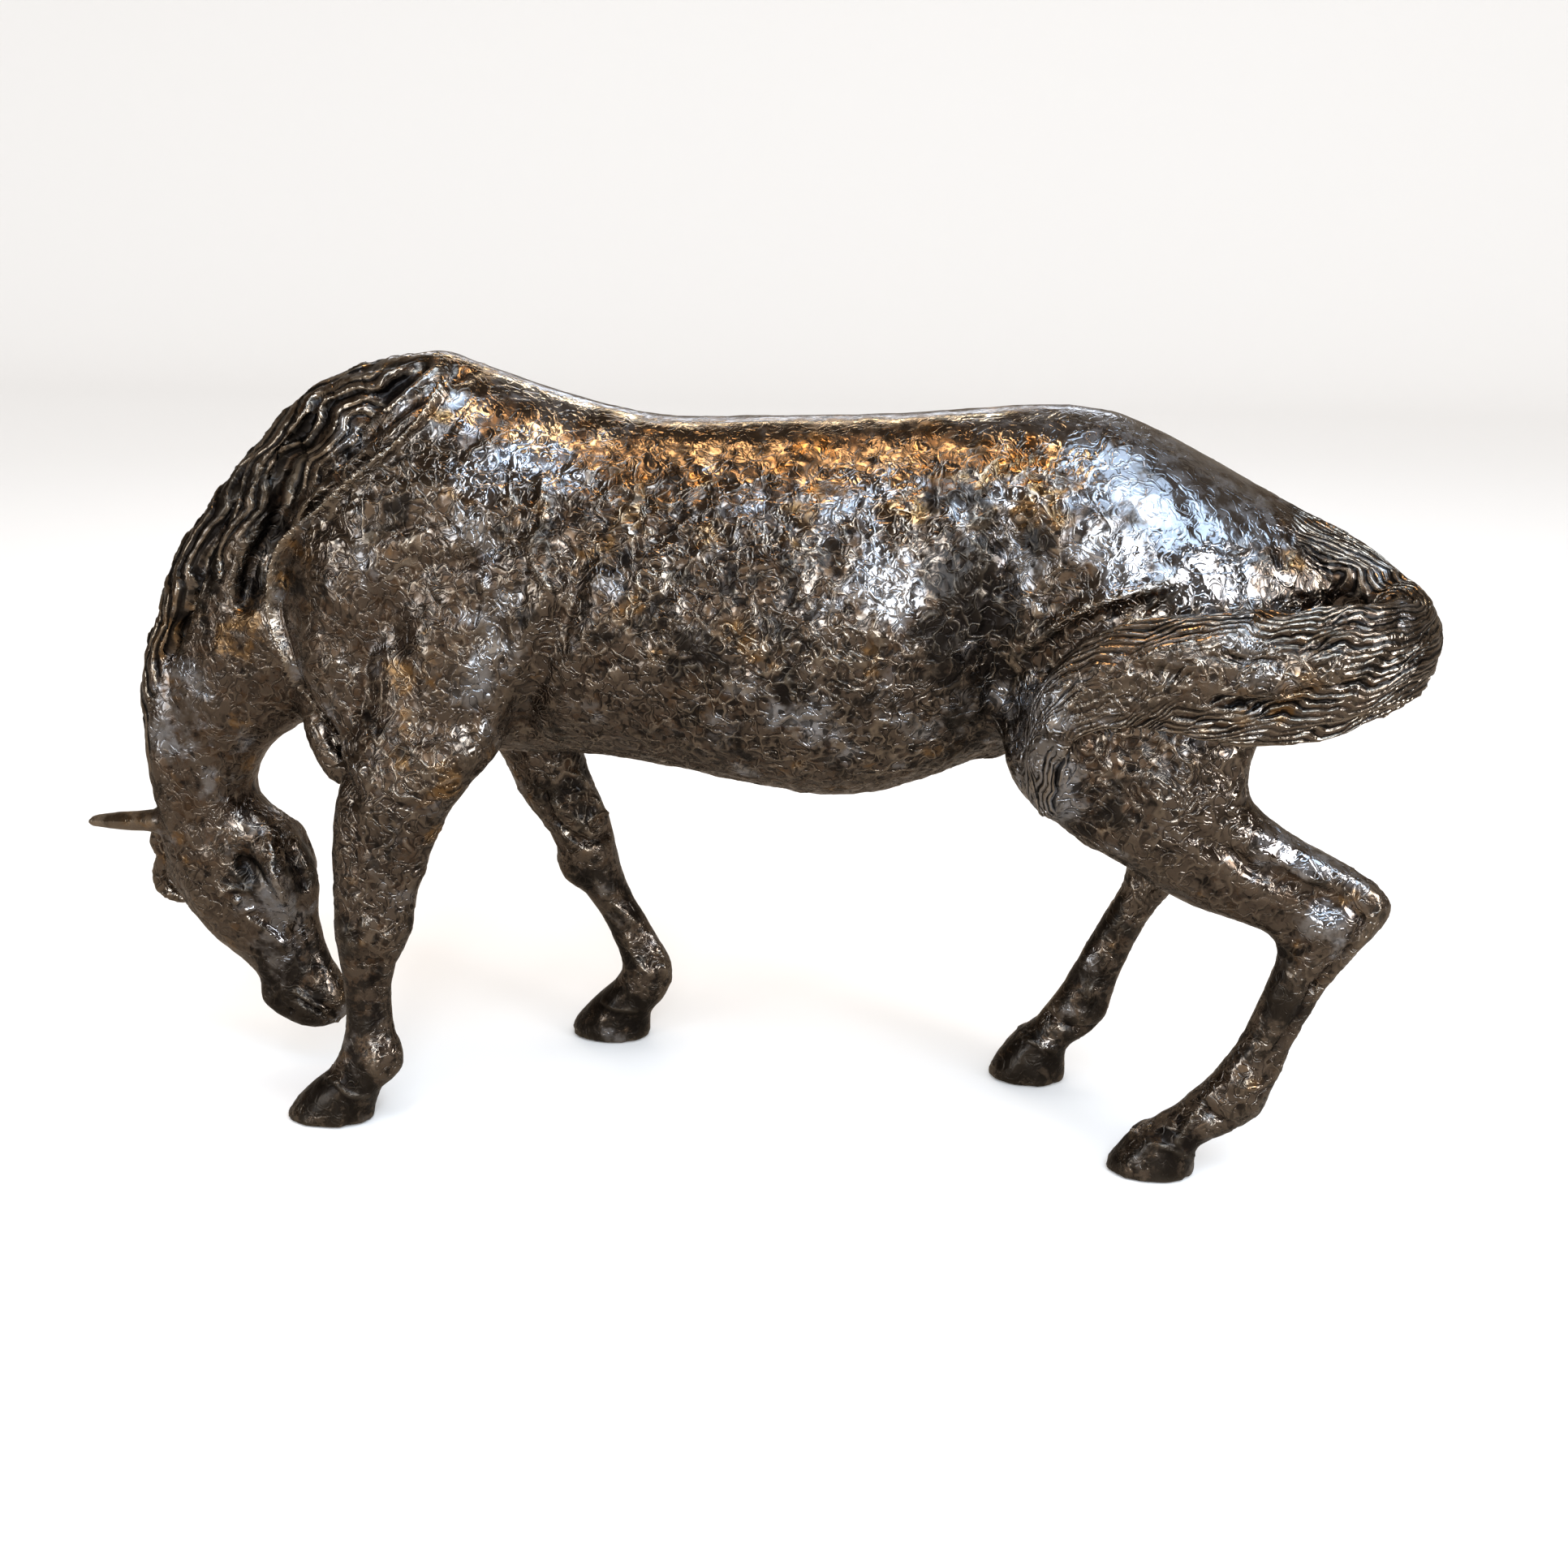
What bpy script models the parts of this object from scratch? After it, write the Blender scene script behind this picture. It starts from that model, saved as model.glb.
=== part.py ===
"""A grazing horse, cast in one piece.

The horse faces -X with its head down by its near foreleg, its left side is
towards -Y, and its four soles stand on z = 0. Places on the figure are given
in hundredths of the height at the withers, as (x, z) seen from the left side,
with y measured from the middle plane. A Slice names the two ends of a cross
section as they show in that side view, and its half width.
"""

import math
from collections import namedtuple

import bmesh
import bpy
import numpy as np
from mathutils import Matrix, Vector
from mathutils.bvhtree import BVHTree

# Driving size, in metres, from the floor to the top of the withers
WITHERS_HEIGHT = 0.42
UNIT = WITHERS_HEIGHT / 100

# Stance and build, in hundredths of the withers height
FORE_STANCE = 15.8
HIND_STANCE = 12.0
BARREL_HALF_WIDTH = 18.0
HOOF_HALF_WIDTH = 4.0
HEAD_TURN = 4.0
MANE_LOCKS = 10
MANE_BAND = 7.0
MANE_LOCK_RADIUS = 1.25
TAIL_LOCKS = 9
TUFT_RADIUS = 1.3
EAR_RADII = (1.9, 1.5, 1.15, 0.8, 0.35)
TAIL_LOCK_RADIUS = 1.0

# Modelling steps, in hundredths of the withers height
BODY_GRAIN = 0.62
BODY_SOFTENING = 8
HAIR_GRAIN = 0.42
HAIR_SOFTENING = 2
FACES_KEPT = 9600

Slice = namedtuple("Slice", "front back y half_width egg", defaults=(0.0,))

BODY_COLOUR = (0.115, 0.094, 0.078, 1.0)


def trunk_slices():
    """Top and underline of the body, from the breast to the buttocks."""
    b = BARREL_HALF_WIDTH
    return [
        Slice((-54.5, 82), (-57.0, 51.5), 0, 0.48 * b),
        Slice((-51.0, 91), (-53.5, 47.8), 0, 0.68 * b),
        Slice((-46.0, 97.4), (-47.8, 46.0), 0, 0.78 * b),
        Slice((-37.0, 100.2), (-38.0, 46.6), 0, 0.83 * b),
        Slice((-29.0, 97.8), (-28.0, 48.2), 0, 0.88 * b),
        Slice((-19.0, 94.7), (-18.0, 48.7), 0, 0.94 * b, 0.10),
        Slice((-7.0, 92.5), (-7.0, 47.8), 0, 0.99 * b, 0.12),
        Slice((5.0, 92.8), (5.0, 45.7), 0, 1.01 * b, 0.12),
        Slice((15.0, 93.0), (15.0, 44.7), 0, 1.00 * b, 0.12),
        Slice((24.0, 93.5), (24.0, 46.4), 0, 0.95 * b, 0.08),
        Slice((33.0, 94.3), (33.0, 50.5), 0, 0.87 * b),
        Slice((41.0, 94.9), (41.0, 53.5), 0, 0.84 * b),
        Slice((49.0, 93.8), (49.0, 56), 0, 0.84 * b),
        Slice((57.5, 90.0), (57.5, 58), 0, 0.79 * b),
        Slice((65.5, 85.6), (65.5, 60.5), 0, 0.68 * b),
        Slice((72.0, 82.3), (71.5, 64), 0, 0.50 * b),
        Slice((76.0, 78.0), (75.5, 68), 0, 0.28 * b),
    ]


def neck_slices():
    """Crest and throat, from inside the shoulders to the poll."""
    return [
        Slice((-37.5, 99.0), (-46.0, 56), 0, 12.0),
        Slice((-45.2, 99.0), (-52.0, 54), 0, 10.6, 0.05),
        Slice((-51.9, 96.1), (-55.0, 52), 0, 9.6, 0.10),
        Slice((-58.1, 91.2), (-57.0, 50.8), 0, 8.8, 0.15),
        Slice((-63.6, 85.7), (-58.0, 50.2), 0, 8.2, 0.18),
        Slice((-69.3, 79.1), (-58.6, 49.8), 0, 7.7, 0.20),
        Slice((-74.4, 71.2), (-59.3, 49.2), 0, 7.3, 0.20),
        Slice((-77.8, 63.4), (-61.7, 47.6), 0, 7.0, 0.20),
        Slice((-79.9, 55.2), (-63.5, 45.6), 0, 6.6, 0.18),
        Slice((-80.0, 47.5), (-65.3, 42.5), 0, 6.3, 0.15),
        Slice((-79.7, 41.2), (-65.7, 39.8), 0, 6.1, 0.10),
        Slice((-78.4, 35.0), (-63.5, 37.0), 0, 5.8),
    ]


def head_slices():
    """Forehead and jaw, from the poll to the lips."""
    return [
        Slice((-79.6, 38.0), (-65.9, 40.4), 0, 4.8),
        Slice((-79.8, 34.4), (-63.6, 37.8), 0, 5.8),
        Slice((-79.6, 30.0), (-60.1, 34.8), 0, 6.4, -0.05),
        Slice((-78.4, 25.6), (-57.9, 31.2), 0, 6.3, -0.10),
        Slice((-76.0, 21.6), (-57.0, 27.2), 0, 5.6, -0.10),
        Slice((-72.8, 17.8), (-57.7, 23.0), 0, 4.6, -0.05),
        Slice((-69.4, 15.0), (-57.3, 19.0), 0, 4.0),
        Slice((-67.0, 12.4), (-56.2, 15.6), 0, 3.7),
        Slice((-66.8, 9.6), (-54.2, 12.4), 0, 4.1),
        Slice((-64.6, 7.1), (-53.8, 9.2), 0, 3.9),
        Slice((-61.2, 5.5), (-55.0, 6.3), 0, 2.6),
    ]


def near_fore_slices():
    """Standing foreleg on the left, from the elbow to the sole."""
    s = -FORE_STANCE
    h = HOOF_HALF_WIDTH
    return [
        Slice((-47.8, 56.0), (-24.3, 58.0), s + 4.4, 5.6),
        Slice((-47.2, 51.0), (-25.3, 52.5), s + 3.2, 6.0),
        Slice((-47.4, 46.9), (-29.2, 47.9), s + 2.4, 5.7),
        Slice((-48.2, 43.4), (-32.2, 44.3), s + 2.0, 5.1),
        Slice((-48.7, 40.1), (-34.2, 40.9), s + 1.8, 4.6),
        Slice((-48.9, 36.7), (-35.4, 37.6), s + 1.6, 4.2),
        Slice((-48.8, 33.4), (-36.8, 34.2), s + 1.4, 3.9),
        Slice((-49.1, 30.0), (-37.9, 30.7), s + 1.2, 3.8),
        Slice((-49.1, 26.6), (-38.2, 27.3), s + 1.0, 3.7),
        Slice((-48.7, 23.2), (-40.1, 23.8), s + 0.9, 3.1),
        Slice((-48.2, 19.7), (-41.4, 20.3), s + 0.8, 2.5),
        Slice((-48.2, 16.3), (-41.7, 16.7), s + 0.7, 2.4),
        Slice((-48.3, 12.9), (-41.5, 13.2), s + 0.6, 2.6),
        Slice((-49.4, 9.6), (-40.8, 10.0), s + 0.5, 3.1),
        Slice((-50.4, 7.6), (-40.4, 7.4), s + 0.4, 3.2),
        Slice((-52.6, 5.8), (-42.8, 5.4), s + 0.2, 0.80 * h),
        Slice((-54.6, 4.2), (-44.2, 3.8), s + 0.1, 0.94 * h),
        Slice((-57.0, 0.9), (-45.0, 0.7), s, 1.04 * h),
        Slice((-57.8, -2.4), (-45.0, -2.4), s, 1.08 * h),
    ]


def far_fore_slices():
    """Foreleg on the right, slanting back under the girth."""
    s = FORE_STANCE
    h = HOOF_HALF_WIDTH
    return [
        Slice((-43.4, 56.0), (-23.2, 58.0), s - 4.4, 5.6),
        Slice((-38.4, 49.5), (-23.3, 50.5), s - 3.0, 5.8),
        Slice((-34.2, 43.0), (-22.8, 43.4), s - 2.2, 5.2),
        Slice((-32.3, 37.6), (-21.2, 38.4), s - 1.8, 4.6),
        Slice((-29.6, 33.7), (-19.4, 34.4), s - 1.5, 4.2),
        Slice((-27.2, 30.1), (-18.7, 30.7), s - 1.3, 3.9),
        Slice((-25.4, 26.2), (-18.3, 27.1), s - 1.1, 3.7),
        Slice((-23.3, 22.6), (-17.1, 23.4), s - 0.9, 3.1),
        Slice((-21.3, 19.2), (-15.0, 19.8), s - 0.8, 2.5),
        Slice((-19.6, 15.7), (-13.0, 16.2), s - 0.7, 2.5),
        Slice((-18.4, 12.4), (-10.9, 12.4), s - 0.6, 2.9),
        Slice((-19.0, 9.6), (-10.6, 9.0), s - 0.5, 3.1),
        Slice((-21.0, 7.6), (-12.2, 6.2), s - 0.3, 0.82 * h),
        Slice((-23.6, 5.0), (-14.2, 4.2), s - 0.1, 0.94 * h),
        Slice((-26.2, 1.4), (-14.4, 1.2), s, 1.04 * h),
        Slice((-26.2, -2.4), (-14.2, -2.4), s, 1.08 * h),
    ]


def near_hind_slices():
    """Bent hind leg on the left, from the stifle over the hock to the sole."""
    s = -HIND_STANCE
    h = HOOF_HALF_WIDTH
    return [
        Slice((41.6, 56.0), (65.6, 68.0), s + 2.0, 6.5),
        Slice((42.6, 48.4), (66.9, 59.0), s + 1.0, 7.4),
        Slice((46.4, 43.8), (66.3, 54.2), s + 0.4, 7.2),
        Slice((51.6, 41.4), (66.7, 50.2), s, 6.4),
        Slice((56.0, 38.4), (71.0, 46.4), s, 5.4),
        Slice((60.6, 36.2), (76.8, 43.6), s, 4.4),
        Slice((64.6, 35.0), (81.2, 41.0), s, 3.9),
        Slice((69.0, 33.6), (84.4, 38.0), s, 3.7),
        Slice((70.8, 31.6), (82.0, 33.6), s, 3.5),
        Slice((70.6, 29.2), (79.4, 30.0), s, 3.2),
        Slice((69.8, 26.6), (77.5, 27.2), s, 3.0),
        Slice((68.9, 23.7), (76.1, 24.3), s, 2.8),
        Slice((67.7, 20.3), (74.6, 20.9), s, 2.7),
        Slice((66.0, 16.9), (73.6, 17.5), s, 2.8),
        Slice((63.8, 13.3), (72.1, 13.6), s, 3.1),
        Slice((61.4, 10.6), (70.8, 9.6), s, 3.4),
        Slice((59.4, 8.6), (68.2, 6.8), s, 3.1),
        Slice((57.0, 6.9), (64.6, 5.2), s, 0.82 * h),
        Slice((54.8, 5.2), (63.1, 3.8), s, 0.96 * h),
        Slice((52.0, 1.6), (63.1, 1.2), s, 1.04 * h),
        Slice((51.2, -2.4), (63.3, -2.4), s, 1.08 * h),
    ]


def far_hind_slices():
    """Hind leg on the right, set a little further forward."""
    s = HIND_STANCE
    h = HOOF_HALF_WIDTH
    return [
        Slice((37.6, 58.0), (62.6, 68.0), s - 2.0, 6.5),
        Slice((37.6, 50.5), (61.6, 58.0), s - 1.0, 7.2),
        Slice((40.6, 45.5), (60.6, 52.5), s - 0.4, 6.6),
        Slice((44.6, 42.0), (61.6, 47.6), s, 5.6),
        Slice((48.0, 39.0), (65.0, 43.6), s, 4.6),
        Slice((50.9, 36.4), (67.0, 40.2), s, 4.0),
        Slice((52.7, 33.6), (66.0, 36.4), s, 3.6),
        Slice((52.4, 30.6), (62.0, 32.0), s, 3.2),
        Slice((51.4, 28.2), (59.0, 29.2), s, 2.9),
        Slice((50.1, 25.6), (57.2, 26.4), s, 2.7),
        Slice((48.5, 22.1), (55.1, 22.6), s, 2.6),
        Slice((46.9, 18.6), (53.5, 18.9), s, 2.6),
        Slice((45.0, 14.8), (52.3, 15.0), s, 2.8),
        Slice((43.0, 11.6), (51.5, 11.0), s, 3.1),
        Slice((41.6, 9.2), (49.8, 7.8), s, 3.0),
        Slice((39.4, 7.4), (46.8, 5.8), s, 0.82 * h),
        Slice((37.4, 5.2), (45.8, 4.2), s, 0.96 * h),
        Slice((35.4, 1.8), (46.0, 1.4), s, 1.04 * h),
        Slice((34.6, -2.4), (46.2, -2.4), s, 1.08 * h),
    ]


# The tail runs back from the croup, swings round the near buttock, lies
# forward along the thigh and hangs at its end: x, y, z, width, thickness
TAIL_CENTRE = (58.0, 0.0, 68.0)
TAIL_RUN = [
    (65.0, 0.0, 81.2, 4.0, 3.2),
    (71.0, -0.4, 79.2, 5.6, 3.6),
    (77.0, -2.0, 75.6, 6.2, 4.0),
    (81.6, -5.0, 71.4, 6.4, 4.0),
    (82.7, -10.0, 69.6, 5.9, 3.8),
    (79.0, -15.0, 69.0, 6.6, 3.4),
    (71.4, -18.2, 67.5, 8.5, 3.0),
    (64.0, -19.4, 67.1, 8.6, 2.8),
    (56.0, -19.6, 67.4, 6.8, 2.7),
    (50.0, -19.4, 66.2, 5.8, 2.6),
    (45.2, -19.0, 63.4, 4.6, 2.5),
    (42.6, -18.4, 59.0, 3.0, 2.3),
    (41.9, -17.8, 53.2, 2.4, 2.0),
    (42.5, -17.4, 48.0, 1.3, 1.2),
]

# Muscle masses laid over the body: two ends (x, y, z), half width, half depth
MUSCLES = [
    # shoulder blades
    ((-31.0, -8.6, 93.0), (-48.0, -12.6, 64.0), 4.6, 9.0),
    ((-31.0, 8.6, 93.0), (-48.0, 12.6, 64.0), 4.6, 9.0),
    # upper arms and triceps
    ((-24.0, -11.6, 76.0), (-39.0, -13.6, 51.0), 4.6, 9.6),
    ((-24.0, 11.6, 76.0), (-37.0, 13.6, 51.0), 4.6, 9.6),
    # points of the shoulders
    ((-49.6, -8.6, 74.0), (-45.0, -12.0, 53.0), 5.0, 5.8),
    ((-49.6, 8.6, 74.0), (-43.0, 12.0, 53.0), 5.0, 5.8),
    # breast
    ((-53.4, -5.0, 58.0), (-48.0, -9.4, 44.4), 3.6, 3.3),
    ((-54.0, 5.0, 58.0), (-48.8, 9.4, 46.0), 3.6, 3.2),
    # hips and thighs
    ((42.0, -8.0, 88.0), (58.0, -12.0, 56.0), 6.6, 14.0),
    ((42.0, 8.0, 88.0), (54.0, 12.0, 56.0), 6.6, 14.0),
    # stifles
    ((40.0, -11.6, 66.0), (48.6, -12.6, 46.0), 6.2, 7.6),
    ((37.0, 11.6, 66.0), (45.0, 12.4, 47.0), 6.0, 7.4),
    # buttocks
    ((60.0, -7.0, 82.0), (64.5, -11.4, 56.0), 5.4, 7.0),
    ((60.0, 7.0, 82.0), (62.0, 11.4, 56.0), 5.4, 7.0),
    # sheath
    ((31.0, 0.0, 51.4), (38.0, 0.0, 52.6), 2.8, 2.2),
]


NEAR, FAR, BOTH = (-1,), (1,), (-1, 1)

# Strokes of the modelling tool, seen from the side they are on: the path as
# (x, z), its half width and its depth, below zero where it is cut in
STROKES = [
    # front edge of the shoulder, and the furrow before it
    (BOTH, [(-31, 96), (-37, 92), (-43, 88), (-48.5, 84),
            (-53, 79), (-54.8, 73), (-54.8, 67), (-53.6, 60)], 1.3, 0.9),
    (BOTH, [(-32, 98), (-39, 93), (-45.5, 88),
            (-52, 82.5), (-56.5, 76.5), (-58.3, 70)], 1.3, -2.0),
    (NEAR, [(-36, 99), (-41, 95.2), (-46, 91)], 0.9, -1.3),
    (BOTH, [(-54, 86), (-55.4, 81), (-57.6, 76), (-60, 70)], 1.7, -1.9),
    # lower edge of the mane
    (BOTH, [(-63, 84), (-66.2, 76), (-70.2, 68.5), (-73.2, 61.5), (-74.6, 55)], 0.9, -1.2),
    # breast and forearm
    (BOTH, [(-53.4, 60), (-50.5, 54.5), (-47.6, 50), (-44, 46.5)], 1.1, -1.3),
    (BOTH, [(-17.8, 73), (-22.5, 64), (-26.5, 56), (-29, 51)], 1.2, 0.9),
    (BOTH, [(-14.5, 77), (-15.4, 72), (-20, 62), (-23.6, 54)], 1.8, -1.5),
    (BOTH, [(-18.4, 86), (-19.6, 81), (-18.6, 77), (-17.6, 73)], 1.0, 0.4),
    (BOTH, [(-35, 75.5), (-28, 76.4), (-21, 81)], 1.0, -0.8),
    (BOTH, [(-46, 80), (-40, 70), (-36, 61), (-35, 55)], 1.8, -0.7),
    # flank, fold of the thigh and the hollow beside the tail
    (BOTH, [(37.0, 82.0), (37.6, 79.0), (36.2, 74.8),
            (35.4, 69.6), (36.4, 63.5), (37.4, 58.5)], 2.6, -1.6),
    (BOTH, [(40, 69), (44, 72.4), (49, 75), (55, 77)], 1.2, 0.7),
    (BOTH, [(70, 75.5), (72.5, 74), (73.5, 71)], 1.8, -1.8),
    # gaskin, hock and hind cannon
    (NEAR, [(60, 47.4), (66, 43.8), (73.1, 40.0), (77.7, 37.8)], 1.1, -1.3),
    (NEAR, [(52.5, 52), (56, 46), (62, 41), (68, 37)], 1.4, -0.7),
    (NEAR, [(71.4, 38), (73.2, 34)], 1.0, -0.7),
    (NEAR, [(79.6, 36.8), (77.8, 32), (75.2, 27), (72.4, 20), (70.8, 15.6)], 0.8, -0.9),
    (FAR, [(56, 43.2), (61, 39.4), (64, 37.8)], 1.0, -1.1),
    (FAR, [(61.4, 34), (57.6, 29.4), (53.6, 23), (50.6, 16)], 0.8, -0.8),
    # forelegs, beside the tendon
    (NEAR, [(-42.6, 25), (-43.0, 19), (-43.2, 13)], 0.7, -0.7),
    (NEAR, [(-44.2, 45), (-44.0, 38), (-43.0, 33)], 1.2, -0.6),
    (FAR, [(-19.2, 22.6), (-16.4, 17.4), (-14.2, 13)], 0.7, -0.7),
    (FAR, [(-28, 38), (-25.4, 33), (-23, 28.6)], 1.2, -0.6),
    # jaw, temple, eye, cheek, mouth and nostril
    (BOTH, [(-62.6, 36.6), (-61, 32), (-60.4, 26.6)], 0.8, 0.6),
    (BOTH, [(-59.4, 33), (-58.4, 27.6)], 0.8, -1.0),
    (BOTH, [(-65.6, 32.6), (-64.2, 29.6)], 1.6, -1.2),
    (BOTH, [(-69.4, 28.4), (-67.2, 25.6)], 0.8, 0.7),
    (BOTH, [(-70.6, 26.2), (-68.6, 24.8)], 0.7, -0.7),
    (BOTH, [(-67.8, 23.4), (-64.6, 21.2), (-62.0, 19.0)], 0.8, 0.6),
    (BOTH, [(-64.6, 25.6), (-62.2, 22.0), (-60.2, 18.6)], 0.9, -0.8),
    (BOTH, [(-59.6, 13.2), (-57.2, 10.4), (-55.2, 7.6)], 0.6, -0.9),
    (BOTH, [(-64.6, 11.0), (-63.4, 9.6)], 0.7, -1.1),
]


def material(name, colour, roughness, metallic):
    made = bpy.data.materials.new(name)
    made.use_nodes = True
    shader = made.node_tree.nodes["Principled BSDF"]
    shader.inputs["Base Color"].default_value = colour
    shader.inputs["Roughness"].default_value = roughness
    shader.inputs["Metallic"].default_value = metallic
    return made


def spline(rows, steps):
    """Smooth curve through rows of numbers, with steps points to each gap."""
    rows = np.array(rows, dtype=float)
    padded = np.vstack([2 * rows[0] - rows[1], rows, 2 * rows[-1] - rows[-2]])
    points = []
    for i in range(1, len(padded) - 2):
        a, b, c, d = padded[i - 1:i + 3]
        for t in np.linspace(0, 1, steps, endpoint=False):
            points.append(
                0.5 * (2 * b + (c - a) * t + (2 * a - 5 * b + 4 * c - d) * t ** 2
                       + (3 * b - a - 3 * c + d) * t ** 3)
            )
    return np.array(points + [rows[-1]])


def closed_skin(bm, rings):
    """Skins a row of equal rings and closes both ends."""
    loops = [[bm.verts.new(Vector(p) * UNIT) for p in ring] for ring in rings]
    count = len(loops[0])
    for low, high in zip(loops, loops[1:]):
        for k in range(count):
            n = (k + 1) % count
            bm.faces.new((low[k], low[n], high[n], high[k]))
    bm.faces.new(tuple(reversed(loops[0])))
    bm.faces.new(tuple(loops[-1]))


def add_loft(bm, slices, turn=None, sides=28, steps=4):
    """Skins a row of slices; turn maps a point to its place, if it is moved."""
    rows = [(*s.front, *s.back, s.y, s.half_width, s.egg) for s in slices]
    rings = []
    for fx, fz, bx, bz, y, half, egg in spline(rows, steps):
        middle = np.array([(fx + bx) / 2, y, (fz + bz) / 2])
        reach = np.array([(fx - bx) / 2, 0, (fz - bz) / 2])
        ring = []
        for k in range(sides):
            angle = 2 * math.pi * k / sides
            side = half * math.sin(angle) * (1 - egg * math.cos(angle))
            point = middle + reach * math.cos(angle) + np.array([0, side, 0])
            ring.append(turn(point) if turn else point)
        rings.append(ring)
    closed_skin(bm, rings)


def add_tube(bm, path, radii, sides=10, steps=4, flat=1.0):
    """Round or flattened tube along a path of points, with rounded ends."""
    rows = spline([(*p, r) for p, r in zip(path, radii)], steps)
    centres, sizes = rows[:, :3], np.maximum(rows[:, 3], 0.05)
    along = np.gradient(centres, axis=0)
    along /= np.linalg.norm(along, axis=1)[:, None]
    rings = []
    for centre, size, direction in zip(centres, sizes, along):
        side = np.cross(direction, (0, 0, 1))
        if np.linalg.norm(side) < 0.2:
            side = np.cross(direction, (0, 1, 0))
        side /= np.linalg.norm(side)
        other = np.cross(side, direction)
        rings.append([
            centre + size * (flat * side * math.cos(a) + other * math.sin(a))
            for a in np.linspace(0, 2 * math.pi, sides, endpoint=False)
        ])
    closed_skin(bm, rings)


def add_muscle(bm, start, end, half_width, half_depth):
    """Egg-shaped mass from start to end."""
    start, end = Vector(start), Vector(end)
    along = (end - start).normalized()
    across = Vector((0, 1, 0))
    depth = across.cross(along).normalized()
    across = along.cross(depth).normalized()
    turn = Matrix((depth, across, along)).transposed().to_4x4()
    size = Matrix.Diagonal(
        (half_depth, half_width, (end - start).length / 2, 1.0)
    )
    place = Matrix.Translation((start + end) / 2 * UNIT)
    bmesh.ops.create_icosphere(
        bm, subdivisions=4, radius=UNIT, matrix=place @ turn @ size
    )


def tail_frame():
    """Centres, widths, thicknesses and side directions along the tail."""
    rows = spline(TAIL_RUN, 5)
    centres = rows[:, :3]
    along = np.gradient(centres, axis=0)
    along /= np.linalg.norm(along, axis=1)[:, None]
    outward = centres - np.array(TAIL_CENTRE)
    outward -= (outward * along).sum(1)[:, None] * along
    outward /= np.linalg.norm(outward, axis=1)[:, None]
    across = np.cross(along, outward)
    return centres, rows[:, 3], rows[:, 4], across, outward


def add_tail(bm):
    """The tail's body, a flattened sleeve of hair."""
    rings = []
    for centre, width, thick, across, outward in zip(*tail_frame()):
        rings.append([
            centre + width * across * math.cos(a) + thick * outward * math.sin(a)
            for a in np.linspace(0, 2 * math.pi, 28, endpoint=False)
        ])
    closed_skin(bm, rings)


def add_tail_locks(bm):
    """Locks of hair that lie along the tail, each a long low ridge."""
    centres, widths, thicks, across, outward = tail_frame()
    last = len(centres) - 1
    for k in range(TAIL_LOCKS):
        lane = 0.86 * (2 * k / (TAIL_LOCKS - 1) - 1)
        first = 6 + (5 * k) % 11
        end = last - (7 * k) % 13
        path = []
        radii = []
        for i in range(first, end, 4):
            swing = lane + 0.10 * math.sin(0.42 * i + 1.9 * k)
            swing = max(-0.97, min(0.97, swing))
            rise = math.sqrt(1 - swing ** 2)
            path.append(
                centres[i] + across[i] * widths[i] * swing
                + outward[i] * thicks[i] * rise
            )
            taper = math.sin(math.pi * (i - first + 2) / (end - first + 4))
            radii.append(TAIL_LOCK_RADIUS * (0.35 + 0.65 * taper))
        add_tube(bm, path, radii, sides=8, steps=3)


class Skin:
    """The fused body, to lay hair and strokes on."""

    def __init__(self, made):
        graph = bpy.context.evaluated_depsgraph_get()
        self.tree = BVHTree.FromObject(made, graph)

    def beside(self, x, z, side):
        """Place on the skin at (x, z), as seen from the left or the right."""
        start = Vector((x, 60 * side, z)) * UNIT
        place = self.tree.ray_cast(start, Vector((0, -side, 0)))[0]
        return None if place is None else np.array(place) / UNIT


def crest_places():
    """Points along the crest, and the way from each to the throat."""
    rows = spline([(*s.front, *s.back) for s in neck_slices()], 10)
    crest, throat = rows[:, :2], rows[:, 2:]
    inward = throat - crest
    return crest, inward / np.linalg.norm(inward, axis=1)[:, None]


def add_mane(bm, skin):
    """Long locks that fall from the crest, fuller on the near side."""
    crest, inward = crest_places()
    last = len(crest) - 1
    for side, count, spread in ((-1, MANE_LOCKS, 1.0), (1, MANE_LOCKS - 2, 0.8)):
        for k in range(count):
            begin = 0.80 * k / count
            length = 0.42 + 0.06 * math.sin(2.3 * k)
            path = []
            radii = []
            for share in np.linspace(0, 1, 10):
                t = min(0.99, begin + length * share)
                i = int(round(t * last))
                band = MANE_BAND * (1.5 - 0.9 * t) * spread
                x, z = crest[i] + inward[i] * (0.5 + band * share ** 0.9)
                place = skin.beside(x, z, side)
                if place is None:
                    continue
                path.append(place)
                swell = math.sin(math.pi * (0.12 + 0.8 * share))
                radii.append(MANE_LOCK_RADIUS * (0.4 + 0.6 * swell))
            add_tube(bm, path, radii, sides=10, steps=3)


def head_turn(point):
    """Turns a place on the head a little about its own long axis."""
    pivot = Vector((-71.0, 0.0, 36.0))
    axis = Vector((12.0, 0.0, -29.0)).normalized()
    turned = Matrix.Rotation(math.radians(HEAD_TURN), 3, axis)
    return np.array(turned @ (Vector(point) - pivot) + pivot)


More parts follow.
